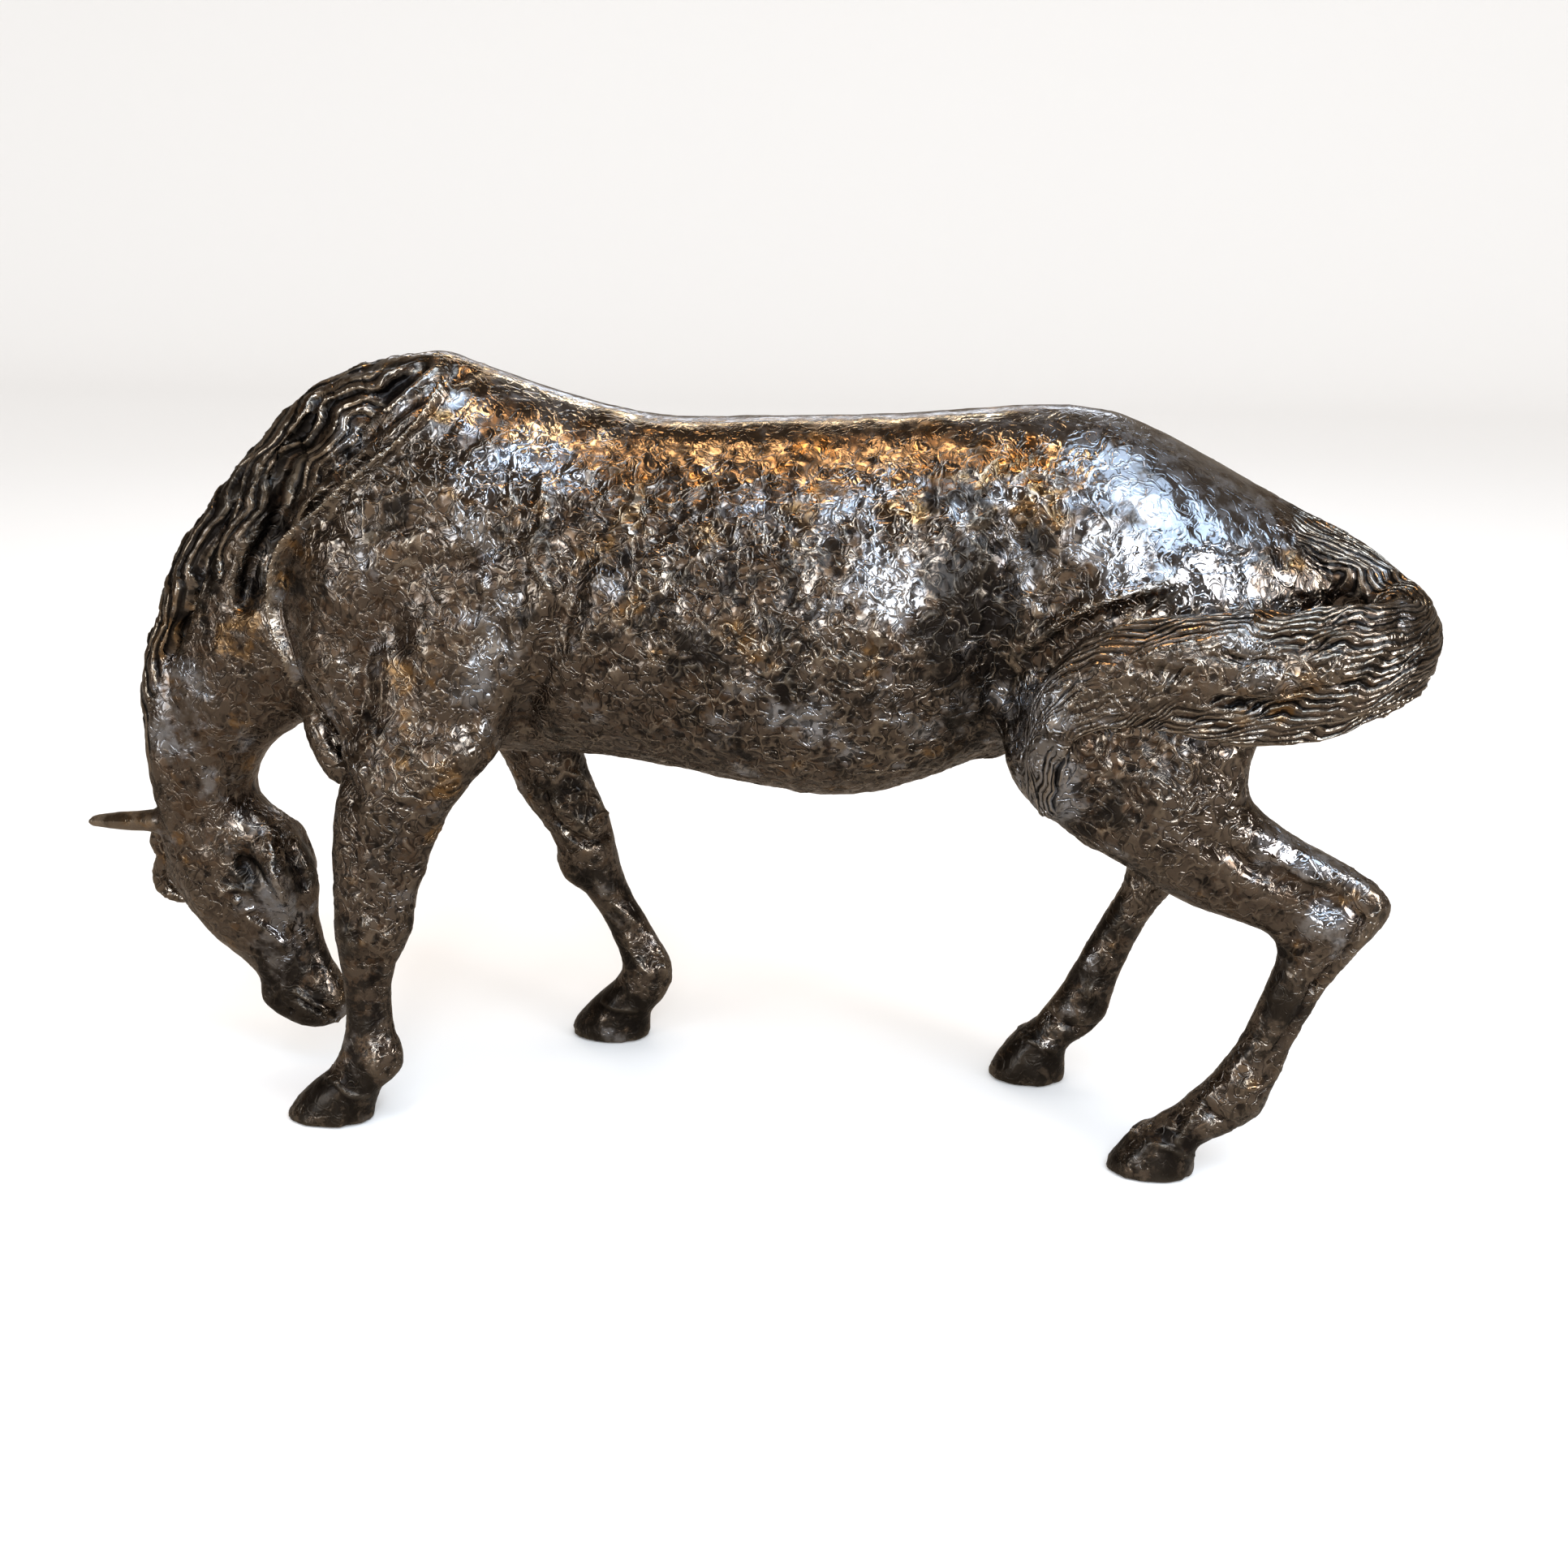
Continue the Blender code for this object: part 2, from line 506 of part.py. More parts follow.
def add_ears_and_forelock(bm):
    """Near ear pricked forward, far ear turned out, and the forelock's tufts."""
    near = [(-76.0, -3.0, 36.2), (-79.6, -3.0, 35.9), (-83.8, -2.8, 35.5),
            (-87.6, -2.6, 35.0), (-90.8, -2.5, 34.5)]
    far = [(-75.6, 3.2, 36.8), (-78.4, 4.2, 38.6), (-80.8, 5.6, 40.8),
           (-82.4, 6.8, 42.6), (-83.2, 7.6, 43.8)]
    for path in (near, far):
        add_tube(bm, [head_turn(p) for p in path], EAR_RADII, flat=0.9)
    for tuft in (
        [(-77.6, 0.4, 36.6), (-80.4, 0.6, 33.6), (-81.6, 0.8, 31.8),
         (-81.4, 0.8, 30.4), (-79.6, 0.8, 29.4)],
        [(-78.0, 1.0, 30.4), (-81.4, 1.6, 27.8), (-83.0, 2.0, 25.2),
         (-81.6, 2.2, 22.8), (-78.0, 2.2, 21.8)],
        [(-77.2, -0.6, 30.0), (-79.2, -0.2, 27.0), (-78.0, 0.4, 24.0)],
    ):
        radii = [TUFT_RADIUS] * (len(tuft) - 1) + [0.5 * TUFT_RADIUS]
        add_tube(bm, [head_turn(p) for p in tuft], radii, sides=8)


def add_face(bm):
    """Brow, cheek, nostril and chin masses on both sides of the head."""
    for side in (-1, 1):
        masses = [
            # brow over the eye
            ((-75.6, 4.6 * side, 29.6), (-70.6, 5.6 * side, 25.0), 1.6, 1.5),
            # cheek along the jaw
            ((-63.4, 3.6 * side, 35.0), (-60.6, 4.4 * side, 25.4), 1.9, 3.2),
            # facial crest
            ((-70.4, 4.8 * side, 24.6), (-64.0, 3.8 * side, 18.0), 1.0, 1.2),
            # nostril
            ((-66.2, 2.2 * side, 12.2), (-63.4, 2.9 * side, 8.0), 1.4, 1.5),
        ]
        for start, end, width, depth in masses:
            add_muscle(bm, head_turn(start), head_turn(end), width, depth)
    add_muscle(bm, head_turn((-57.6, 0, 11.0)), head_turn((-54.0, 0, 7.4)), 2.3, 1.9)


def add_joints(bm):
    """Knees, hocks and fetlocks, where the bone stands out."""
    s, t = FORE_STANCE, HIND_STANCE
    knobs = [
        ((-46.6, -s + 1.0, 30.5), (-45.6, -s + 1.0, 24.5), 3.9, 3.0),
        ((-26.0, s - 1.0, 30.0), (-22.4, s - 1.0, 23.5), 3.9, 3.0),
        ((-44.6, -s + 0.5, 12.2), (-43.0, -s + 0.5, 7.4), 3.5, 3.4),
        ((-15.4, s - 0.5, 12.8), (-14.0, s - 0.5, 7.8), 3.5, 3.4),
        ((76.0, -t, 39.4), (83.4, -t, 36.4), 2.9, 2.4),
        ((60.0, t, 39.4), (66.6, t, 37.6), 2.9, 2.4),
        ((68.6, -t, 14.2), (67.2, -t, 8.4), 3.7, 3.7),
        ((48.6, t, 13.4), (47.4, t, 8.2), 3.6, 3.4),
    ]
    for start, end, width, depth in knobs:
        add_muscle(bm, start, end, width, depth)


def object_of(bm, name):
    bmesh.ops.recalc_face_normals(bm, faces=bm.faces)
    mesh = bpy.data.meshes.new(name)
    bm.to_mesh(mesh)
    bm.free()
    made = bpy.data.objects.new(name, mesh)
    bpy.context.collection.objects.link(made)
    return made


def settled(made):
    """Turns the object's modifiers into plain mesh."""
    graph = bpy.context.evaluated_depsgraph_get()
    mesh = bpy.data.meshes.new_from_object(made.evaluated_get(graph))
    made.modifiers.clear()
    old = made.data
    made.data = mesh
    bpy.data.meshes.remove(old)


def fuse(made, grain, rounds):
    """Makes one skin of all that overlaps, and smooths it."""
    remesh = made.modifiers.new("fuse", "REMESH")
    remesh.mode = "VOXEL"
    remesh.voxel_size = grain * UNIT
    smooth = made.modifiers.new("soften", "SMOOTH")
    smooth.factor = 0.5
    smooth.iterations = rounds
    settled(made)


def join_into(made, bm):
    """Adds the loose bodies of bm to the object's mesh."""
    bmesh.ops.recalc_face_normals(bm, faces=bm.faces)
    bm.from_mesh(made.data)
    bm.to_mesh(made.data)
    bm.free()


def main_form():
    bm = bmesh.new()
    add_loft(bm, trunk_slices(), sides=40)
    add_loft(bm, neck_slices(), sides=32)
    add_loft(bm, head_slices(), turn=head_turn)
    for slices in (near_fore_slices(), far_fore_slices(), near_hind_slices(), far_hind_slices()):
        add_loft(bm, slices)
    for start, end, half_width, half_depth in MUSCLES:
        add_muscle(bm, start, end, half_width, half_depth)
    add_face(bm)
    add_joints(bm)
    add_tail(bm)
    made = object_of(bm, "horse")
    fuse(made, BODY_GRAIN, BODY_SOFTENING)
    return made


def add_hair(made):
    bm = bmesh.new()
    add_mane(bm, Skin(made))
    add_ears_and_forelock(bm)
    add_tail_locks(bm)
    join_into(made, bm)
    fuse(made, HAIR_GRAIN, HAIR_SOFTENING)


def carve(made):
    """Works every stroke into the skin."""
    skin = Skin(made)
    mesh = made.data
    count = len(mesh.vertices)
    places = np.empty(count * 3, np.float32)
    normals = np.empty(count * 3, np.float32)
    mesh.vertices.foreach_get("co", places)
    mesh.vertices.foreach_get("normal", normals)
    places = places.reshape(-1, 3)
    normals = normals.reshape(-1, 3)
    push = np.zeros(count, np.float32)
    for sides, path, half_width, depth in STROKES:
        for side in sides:
            marks = [skin.beside(x, z, side) for x, z in spline(path, 8)]
            marks = np.array([m for m in marks if m is not None]) * UNIT
            width = half_width * UNIT
            low, high = marks.min(0) - 3 * width, marks.max(0) + 3 * width
            near = np.flatnonzero(((places > low) & (places < high)).all(1))
            gap = np.linalg.norm(places[near][:, None] - marks[None], axis=2).min(1)
            push[near] += depth * UNIT * np.exp(-(gap / width) ** 2)
    mesh.vertices.foreach_set("co", (places + normals * push[:, None]).ravel())
    mesh.update()


def thin(made):
    """Keeps faces where the form turns, and fewer where it runs flat."""
    mesh = made.data
    mesh.calc_loop_triangles()
    decimate = made.modifiers.new("thin", "DECIMATE")
    decimate.ratio = FACES_KEPT / len(mesh.loop_triangles)
    decimate.use_collapse_triangulate = True
    settled(made)


def cut_soles(made):
    """Cuts the four soles flat on z = 0."""
    bm = bmesh.new()
    reach = 2.4 * WITHERS_HEIGHT
    bmesh.ops.create_cube(bm, size=reach)
    bmesh.ops.translate(bm, verts=bm.verts, vec=(0, 0, -reach / 2))
    floor = object_of(bm, "floor_cutter")
    floor.hide_render = True
    floor.display_type = "WIRE"
    cut = made.modifiers.new("soles", "BOOLEAN")
    cut.operation = "DIFFERENCE"
    cut.solver = "EXACT"
    cut.object = floor
    settled(made)


def centre(made):
    """Puts the middle of the figure's footprint at the origin."""
    count = len(made.data.vertices)
    points = np.empty(count * 3)
    made.data.vertices.foreach_get("co", points)
    points = points.reshape(-1, 3)
    middle = (points.min(0) + points.max(0)) / 2
    made.data.transform(Matrix.Translation((-middle[0], -middle[1], 0)))


def build_horse():
    horse = main_form()
    carve(horse)
    add_hair(horse)
    thin(horse)
    cut_soles(horse)
    centre(horse)
    horse.data.materials.append(material("polished_bronze", BODY_COLOUR, 0.34, 1.0))
    horse.data.shade_smooth()
    horse.data.set_sharp_from_angle(angle=math.radians(60))


for old in list(bpy.data.objects):
    bpy.data.objects.remove(old)
build_horse()
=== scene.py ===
"""Looks of a grazing horse, cast in dark bronze and rubbed to a polish.

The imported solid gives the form. A copy of it is smoothed, cut and raised with
the strokes of a modelling tool, overlaid with the hair of the mane and the
tail, and finished with a procedural bronze. Places on the horse are given in
hundredths of its height at the withers, as (x, z) seen from the left side or
as (x, y, z), with y measured from the figure's middle plane.
"""

from __future__ import annotations

import logging
import math
from dataclasses import dataclass
from enum import Enum
from typing import Iterable, Sequence

import bmesh
import bpy
import numpy as np
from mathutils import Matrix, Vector
from mathutils.bvhtree import BVHTree


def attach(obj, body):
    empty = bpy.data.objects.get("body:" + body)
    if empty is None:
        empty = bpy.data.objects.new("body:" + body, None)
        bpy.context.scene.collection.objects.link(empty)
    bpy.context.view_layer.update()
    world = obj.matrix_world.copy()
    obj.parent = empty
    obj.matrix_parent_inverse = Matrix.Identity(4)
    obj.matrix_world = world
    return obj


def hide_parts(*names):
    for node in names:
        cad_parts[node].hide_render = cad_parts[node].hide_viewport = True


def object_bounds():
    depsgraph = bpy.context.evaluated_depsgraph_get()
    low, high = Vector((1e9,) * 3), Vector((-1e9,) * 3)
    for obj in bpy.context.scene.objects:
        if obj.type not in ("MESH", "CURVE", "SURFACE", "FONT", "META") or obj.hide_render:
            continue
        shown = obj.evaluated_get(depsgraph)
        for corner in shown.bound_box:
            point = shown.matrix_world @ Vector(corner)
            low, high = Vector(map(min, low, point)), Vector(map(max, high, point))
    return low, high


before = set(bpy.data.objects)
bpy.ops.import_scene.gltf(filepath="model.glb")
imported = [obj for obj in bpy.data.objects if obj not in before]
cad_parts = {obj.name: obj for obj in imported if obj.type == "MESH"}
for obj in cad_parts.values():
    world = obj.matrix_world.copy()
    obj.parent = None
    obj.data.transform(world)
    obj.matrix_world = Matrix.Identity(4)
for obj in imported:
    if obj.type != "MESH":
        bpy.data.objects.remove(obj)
CAD_LOW, CAD_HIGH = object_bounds()

log = logging.getLogger("horse")

NODE = "horse"
BODY = "root"

Path2 = Sequence[tuple[float, float]]
Socket = bpy.types.NodeSocket
Tree = bpy.types.NodeTree
Object = bpy.types.Object
Mesh = bpy.types.Mesh


class Side(Enum):
    """Side of the horse that a stroke is worked from."""

    NEAR = (-1,)
    BOTH = (-1, 1)


class Grain(Enum):
    """Edge length of the fine meshes, in metres."""

    SKIN = 0.00118


@dataclass(frozen=True)
class Figure:
    """Turns places on the horse into metres in the frame.

    unit: a hundredth of the height at the withers, in metres.
    origin: the figure's own zero in the frame, in metres.
    """

    unit: float = 0.0042
    origin: tuple[float, float, float] = (0.0075, 0.0068, 0.0)

    def metres(self, places: Iterable[Sequence[float]]) -> np.ndarray:
        """Places (x, y, z) on the horse as rows of metres."""
        return np.asarray(list(places), float) * self.unit + np.array(self.origin)


def spline(rows: Sequence[Sequence[float]], steps: int) -> np.ndarray:
    """Smooth curve through rows of numbers.

    Args:
        rows: the numbers to pass through, one row each.
        steps: points made for each gap between two rows.

    Returns:
        The points of the curve, one row each.
    """
    rows = np.asarray(rows, float)
    padded = np.vstack([2 * rows[0] - rows[1], rows, 2 * rows[-1] - rows[-2]])
    t = np.linspace(0, 1, steps, endpoint=False)[:, None]
    parts = []
    for i in range(1, len(padded) - 2):
        a, b, c, d = padded[i - 1 : i + 3]
        parts.append(
            0.5 * (2 * b + (c - a) * t + (2 * a - 5 * b + 4 * c - d) * t**2
                   + (3 * b - a - 3 * c + d) * t**3)
        )
    return np.vstack(parts + [rows[-1:]])


def unit_rows(rows: np.ndarray) -> np.ndarray:
    """Rows scaled to length one."""
    return rows / np.maximum(np.linalg.norm(rows, axis=1), 1e-12)[:, None]


class Skin:
    """The surface of the casting, to find places on it."""

    def __init__(self, made: Object, figure: Figure) -> None:
        """Keeps the search tree of the object's mesh."""
        graph = bpy.context.evaluated_depsgraph_get()
        self.tree = BVHTree.FromObject(made, graph)
        self.figure = figure

    def beside(self, x: float, z: float, side: int) -> np.ndarray | None:
        """Place on the skin at (x, z), looked at from one side.

        Args:
            x, z: the place as seen from the side, in hundredths.
            side: -1 from the left, 1 from the right.

        Returns:
            The place in metres, or None where nothing is hit.
        """
        start = Vector(self.figure.metres([(x, 60 * side, z)])[0])
        hit = self.tree.ray_cast(start, Vector((0, -side, 0)))[0]
        return None if hit is None else np.array(hit)


def vertex_rows(mesh: Mesh, name: str) -> np.ndarray:
    """Places ("co") or normals ("normal") of the vertices, one row each."""
    flat = np.empty(len(mesh.vertices) * 3, np.float32)
    mesh.vertices.foreach_get(name, flat)
    return flat.reshape(-1, 3).astype(float)


def settle(made: Object) -> Object:
    """Turns an object's modifiers into plain mesh.

    Args:
        made: the object whose modifiers are evaluated and removed.

    Returns:
        The same object.
    """
    graph = bpy.context.evaluated_depsgraph_get()
    mesh = bpy.data.meshes.new_from_object(made.evaluated_get(graph))
    made.modifiers.clear()
    old = made.data
    made.data = mesh
    bpy.data.meshes.remove(old)
    return made


def fused(made: Object, grain: Grain, rounds: int) -> Object:
    """Makes one even skin of all that overlaps, and softens it.

    Args:
        made: the object to work on.
        grain: edge length of the new mesh.
        rounds: how often it is softened.

    Returns:
        The same object.
    """
    remesh = made.modifiers.new("fuse", "REMESH")
    remesh.mode = "VOXEL"
    remesh.voxel_size = grain.value
    soften = made.modifiers.new("soften", "SMOOTH")
    soften.factor = 0.5
    soften.iterations = rounds
    return settle(made)


def thinned(made: Object, most: int) -> Object:
    """Drops triangles where the form runs flat, down to most of them.

    Args:
        made: the object to work on.
        most: the triangles that may be left.

    Returns:
        The same object.
    """
    made.data.calc_loop_triangles()
    count = len(made.data.loop_triangles)
    if count > most:
        decimate = made.modifiers.new("thin", "DECIMATE")
        decimate.ratio = most / count
        decimate.use_collapse_triangulate = True
        settle(made)
    return made


class Wiring:
    """A node tree while its nodes are added and joined."""

    def __init__(self, tree: Tree) -> None:
        """Starts on an existing tree."""
        self.tree = tree

    def node(self, kind: str, **settings: object) -> bpy.types.Node:
        """A new node of that kind with its settings."""
        made = self.tree.nodes.new(kind)
        for name, value in settings.items():
            setattr(made, name, value)
        return made

    def put(self, target: Socket, value: object) -> None:
        """Feeds an input from a socket, or sets its own value."""
        if isinstance(value, bpy.types.NodeSocket):
            self.tree.links.new(value, target)
        else:
            target.default_value = value

    def feed(self, node: bpy.types.Node, values: dict[str, object]) -> None:
        """Feeds a node's inputs, each by its name."""
        for name, value in values.items():
            self.put(node.inputs[name], value)

    def math(self, operation: str, *values: object) -> Socket:
        """Result of a Math node on sockets or numbers."""
        made = self.node("ShaderNodeMath", operation=operation)
        for target, value in zip(made.inputs, values):
            self.put(target, value)
        return made.outputs[0]

    def plus(self, *values: object) -> Socket:
        """Sum of two sockets or numbers."""
        return self.math("ADD", *values)

    def minus(self, *values: object) -> Socket:
        """First less the second."""
        return self.math("SUBTRACT", *values)

    def times(self, *values: object) -> Socket:
        """Product of two sockets or numbers."""
        return self.math("MULTIPLY", *values)

    def larger(self, *values: object) -> Socket:
        """The larger of two sockets or numbers."""
        return self.math("MAXIMUM", *values)

    def vector(self, operation: str, *values: object) -> Socket:
        """Result of a Vector Math node on sockets or triples."""
        made = self.node("ShaderNodeVectorMath", operation=operation)
        for target, value in zip(made.inputs, values):
            self.put(target, value)
        return made.outputs[0]

    def scaled(self, vector: Socket, factor: object) -> Socket:
        """A vector times a number or a socket."""
        made = self.node("ShaderNodeVectorMath", operation="SCALE")
        self.put(made.inputs[0], vector)
        self.put(made.inputs["Scale"], factor)
        return made.outputs[0]

    def ramp(self, value: Socket, low: object, high: object) -> Socket:
        """Smooth step of a value from 0 at low to 1 at high."""
        made = self.node("ShaderNodeMapRange", interpolation_type="SMOOTHSTEP")
        self.feed(made, {"Value": value, "From Min": low, "From Max": high})
        return made.outputs["Result"]

    def noise(
        self, vector: Socket, scale: object, detail: float = 2.0, rough: float = 0.5
    ) -> Socket:
        """Soft noise from 0 to 1 at that scale, per metre."""
        made = self.node("ShaderNodeTexNoise", noise_dimensions="3D")
        self.feed(made, {"Vector": vector, "Scale": scale, "Detail": detail, "Roughness": rough})
        return made.outputs[0]

    def mix(self, share: object, first: object, second: object) -> Socket:
        """Blend of two colours by a share from 0 to 1."""
        made = self.node("ShaderNodeMix", data_type="RGBA")
        self.put(made.inputs[0], share)
        self.put(made.inputs[6], first)
        self.put(made.inputs[7], second)
        return made.outputs[2]


def node_group(
    kind: str, name: str, inputs: dict[str, tuple[str, object]], outputs: dict[str, str]
) -> tuple[Wiring, bpy.types.Node, bpy.types.Node]:
    """A new node group with named sockets.

    Args:
        kind: "ShaderNodeTree" or "GeometryNodeTree".
        name: the group's name.
        inputs: name to (socket kind, value at start or None).
        outputs: name to socket kind.

    Returns:
        The group's wiring, its input node and its output node.
    """
    tree = bpy.data.node_groups.new(name, kind)
    for title, (socket, value) in inputs.items():
        made = tree.interface.new_socket(name=title, in_out="INPUT", socket_type=socket)
        if value is not None:
            made.default_value = value
    for title, socket in outputs.items():
        tree.interface.new_socket(name=title, in_out="OUTPUT", socket_type=socket)
    wiring = Wiring(tree)
    return wiring, wiring.node("NodeGroupInput"), wiring.node("NodeGroupOutput")


def run_tree(made: Object, tree: Tree, values: dict[str, object]) -> None:
    """Runs a Geometry Nodes tree on an object and keeps the plain mesh.

    Args:
        made: the object to work on.
        tree: the tree to run.
        values: input name to value.
    """
    modifier = made.modifiers.new(tree.name, "NODES")
    modifier.node_group = tree
    for item in tree.interface.items_tree:
        if item.item_type == "SOCKET" and item.in_out == "INPUT" and item.name in values:
            modifier[item.identifier] = values[item.name]
    settle(made)


FLOAT, VECTOR, COLOUR = "NodeSocketFloat", "NodeSocketVector", "NodeSocketColor"
GEOMETRY, MATERIAL = "NodeSocketGeometry", "NodeSocketMaterial"


def mark_field(
    w: Wiring, place: Socket, scale: object, curl: object
) -> tuple[Socket, Socket, Socket]:
    """Short curled marks between hollows, as a modelling tool leaves in wax.

    Args:
        w: the tree to add nodes to.
        place: the place that the marks are read at.
        scale: marks per metre.
        curl: how far the marks bend, in metres.

    Returns:
        The height of the skin, the raised edges of the marks and the pits.
    """
    swirl = w.node("ShaderNodeTexNoise")
    w.feed(swirl, {"Vector": place, "Scale": w.times(scale, 0.7)})
    bend = w.vector("SUBTRACT", swirl.outputs["Color"], (0.5, 0.5, 0.5))
    bent = w.vector("ADD", place, w.scaled(bend, curl))
    edges, gaps = [], []
    for size, shift in ((1.0, (0.0, 0.0, 0.0)), (1.9, (0.31, 0.17, 0.23))):
        scale_here = w.times(scale, size)
        layer = w.noise(w.vector("ADD", bent, shift), scale_here, detail=0.5)
        gap = w.math("ABSOLUTE", w.minus(layer, 0.5))
        line = w.minus(1.0, w.ramp(gap, 0.006, 0.046))
        beside = w.ramp(gap, 0.046, 0.062)
        beside = w.times(beside, w.minus(1.0, w.ramp(gap, 0.085, 0.115)))
        broken = w.noise(w.vector("ADD", place, shift), scale_here, detail=1.0)
        broken = w.ramp(broken, 0.41, 0.53)
        edges.append(w.times(line, broken))
        gaps.append(w.times(beside, broken))
    strength = w.ramp(w.noise(place, w.times(scale, 0.22), detail=2.0), 0.34, 0.62)
    strength = w.plus(0.45, w.times(strength, 0.55))
    edge = w.times(w.larger(*edges), strength)
    pit = w.ramp(w.noise(bent, w.times(scale, 1.9), detail=1.0), 0.60, 0.68)
    pit = w.larger(pit, w.times(w.larger(*gaps), 0.75))
    pit = w.times(pit, w.minus(1.0, edge))
    chips = w.node("ShaderNodeTexVoronoi", feature="F1")
    w.feed(chips, {"Vector": bent, "Scale": w.times(scale, 1.15)})
    dent = w.math("POWER", chips.outputs["Distance"], 2.0)
    height = w.plus(w.times(edge, 0.55), w.times(dent, 1.5))
    height = w.minus(height, w.times(pit, 0.6))
    return height, edge, pit


def tool_mark_group() -> Tree:
    """The tool marks as a shader group.

    Returns:
        A group that gives a height, raised edges and pits, each about 0 to 1.
    """
    w, given, out = node_group(
        "ShaderNodeTree", "tool_marks",
        {"Vector": (VECTOR, None), "Marks per Metre": (FLOAT, 88.0), "Curl": (FLOAT, 0.010)},
        {"Height": FLOAT, "Edge": FLOAT, "Pit": FLOAT},
    )
    o = given.outputs
    results = mark_field(w, o["Vector"], o["Marks per Metre"], o["Curl"])
    w.feed(out, dict(zip(("Height", "Edge", "Pit"), results)))
    return w.tree


def combed_group() -> Tree:
    """Hair lines across a strand number that rises by one from hair to hair.

    Returns:
        A shader group that gives a height, a lighter edge on one side of each hair, as worn crest and
        painted highlight, and grooves from 0 to 1.
    """
    w, given, out = node_group(
        "ShaderNodeTree", "combed_hair", {"Strand": (FLOAT, 0.0)},
        {"Height": FLOAT, "Edge": FLOAT, "Groove": FLOAT},
    )
    strand = given.outputs["Strand"]
    turn = w.math("FRACT", strand)
    own = w.node("ShaderNodeTexWhiteNoise", noise_dimensions="1D")
    w.put(own.inputs["W"], w.math("FLOOR", w.plus(strand, 0.5)))
    away = w.math("ABSOLUTE", w.minus(w.times(turn, 2.0), 1.0))
    reach = w.plus(0.36, w.times(own.outputs["Value"], 0.34))
    groove = w.ramp(away, reach, w.plus(reach, 0.26))
    # edge band on one side of each hair: worn crest and a painted highlight
    edge = w.times(w.ramp(turn, 0.50, 0.72), w.minus(1.0, groove))
    fine = w.math("FRACT", w.times(strand, 3.0))
    fine = w.math("ABSOLUTE", w.minus(fine, 0.5))
    height = w.plus(w.minus(1.0, w.math("POWER", away, 2.0)), w.times(fine, 0.25))
    w.feed(out, {"Height": height, "Edge": edge, "Groove": groove})
    return w.tree


def patina_group() -> Tree:
    """Colour, roughness and bareness of patinated bronze, rubbed on its ridges, with painted shade, a
    painted highlight and a painted warm reflection laid on in spots.

    Returns:
        A shader group that gives a colour, a roughness and a metallic share.
    """
    w, given, out = node_group(
        "ShaderNodeTree", "patina",
        {
            "Vector": (VECTOR, None), "Hollow": (FLOAT, 0.0), "Ridge": (FLOAT, 0.0),
            "Edge": (FLOAT, 0.0), "Pit": (FLOAT, 0.0), "Patches per Metre": (FLOAT, 26.0),
            "Smoked": (FLOAT, 0.0), "Amber Share": (FLOAT, 0.0), "Rubbed": (FLOAT, 0.0),
            "Metal": (COLOUR, (0.2, 0.19, 0.18, 1)), "Brown": (COLOUR, (0.1, 0.06, 0.03, 1)),
            "Amber": (COLOUR, (0.3, 0.15, 0.05, 1)), "Dark": (COLOUR, (0.01, 0.01, 0.01, 1)),
            "Bright": (COLOUR, (0.4, 0.35, 0.3, 1)), "Sheen_colour": (COLOUR, (0.5, 0.5, 0.5, 1)),
            "Polish": (FLOAT, 0.2), "Dullness": (FLOAT, 0.5),
        },
        {"Colour": COLOUR, "Roughness": FLOAT, "Metallic": FLOAT},
    )
    o = given.outputs
    place, scale = o["Vector"], o["Patches per Metre"]

    def blotches(size: float, share: object, low: float, high: float) -> Socket:
        """Patches of that size, more of them where share is higher."""
        layer = w.noise(place, w.times(scale, size), detail=4.0, rough=0.62)
        return w.ramp(w.plus(layer, w.times(share, 0.20)), low, high)

    # painted highlight: lighter bluish metal in patches where the cool lamps' reflections fall, polished
    # smoother there as well
    rubbed = blotches(1.3, o["Rubbed"], 0.56, 0.70)
    brown = w.times(blotches(1.0, 0.0, 0.40, 0.56), blotches(5.0, 0.4, 0.50, 0.68))
    colour = w.mix(brown, o["Metal"], o["Brown"])
    # amber patches: amber patina on the neck and head, and along the back a painted warm reflection of
    # the warm ceiling light
    colour = w.mix(blotches(1.5, o["Amber Share"], 0.60, 0.72), colour, o["Amber"])
    colour = w.mix(w.times(rubbed, 0.85), colour, o["Sheen_colour"])
    # painted shade: dark blotches laid where shade falls on the lower legs, hooves, eye hollow, muzzle,
    # under the mane and behind the flank
    shade_blotches = w.larger(blotches(1.9, o["Smoked"], 0.56, 0.68), blotches(5.5, o["Smoked"], 0.58, 0.70))
    shade_blotches = w.times(shade_blotches, w.minus(0.9, w.times(rubbed, 0.6)))
    dark = w.larger(w.times(o["Hollow"], 0.95), shade_blotches)
    dark = w.larger(dark, w.times(o["Pit"], 0.85))
    colour = w.mix(dark, colour, o["Dark"])
    worn = w.larger(w.times(o["Ridge"], 0.8), w.times(o["Edge"], 0.62))
    worn = w.times(worn, w.minus(1.0, w.times(dark, 0.55)))
    dull = w.larger(w.times(dark, 0.8), w.times(brown, 0.7))
    dull = w.times(dull, w.minus(1.0, w.larger(worn, rubbed)))
    span = w.minus(o["Dullness"], o["Polish"])
    w.feed(out, {
        "Colour": w.mix(worn, colour, o["Bright"]),
        "Roughness": w.plus(o["Polish"], w.times(dull, span)),
        "Metallic": w.minus(1.0, w.times(brown, 0.12)),
    })
    return w.tree


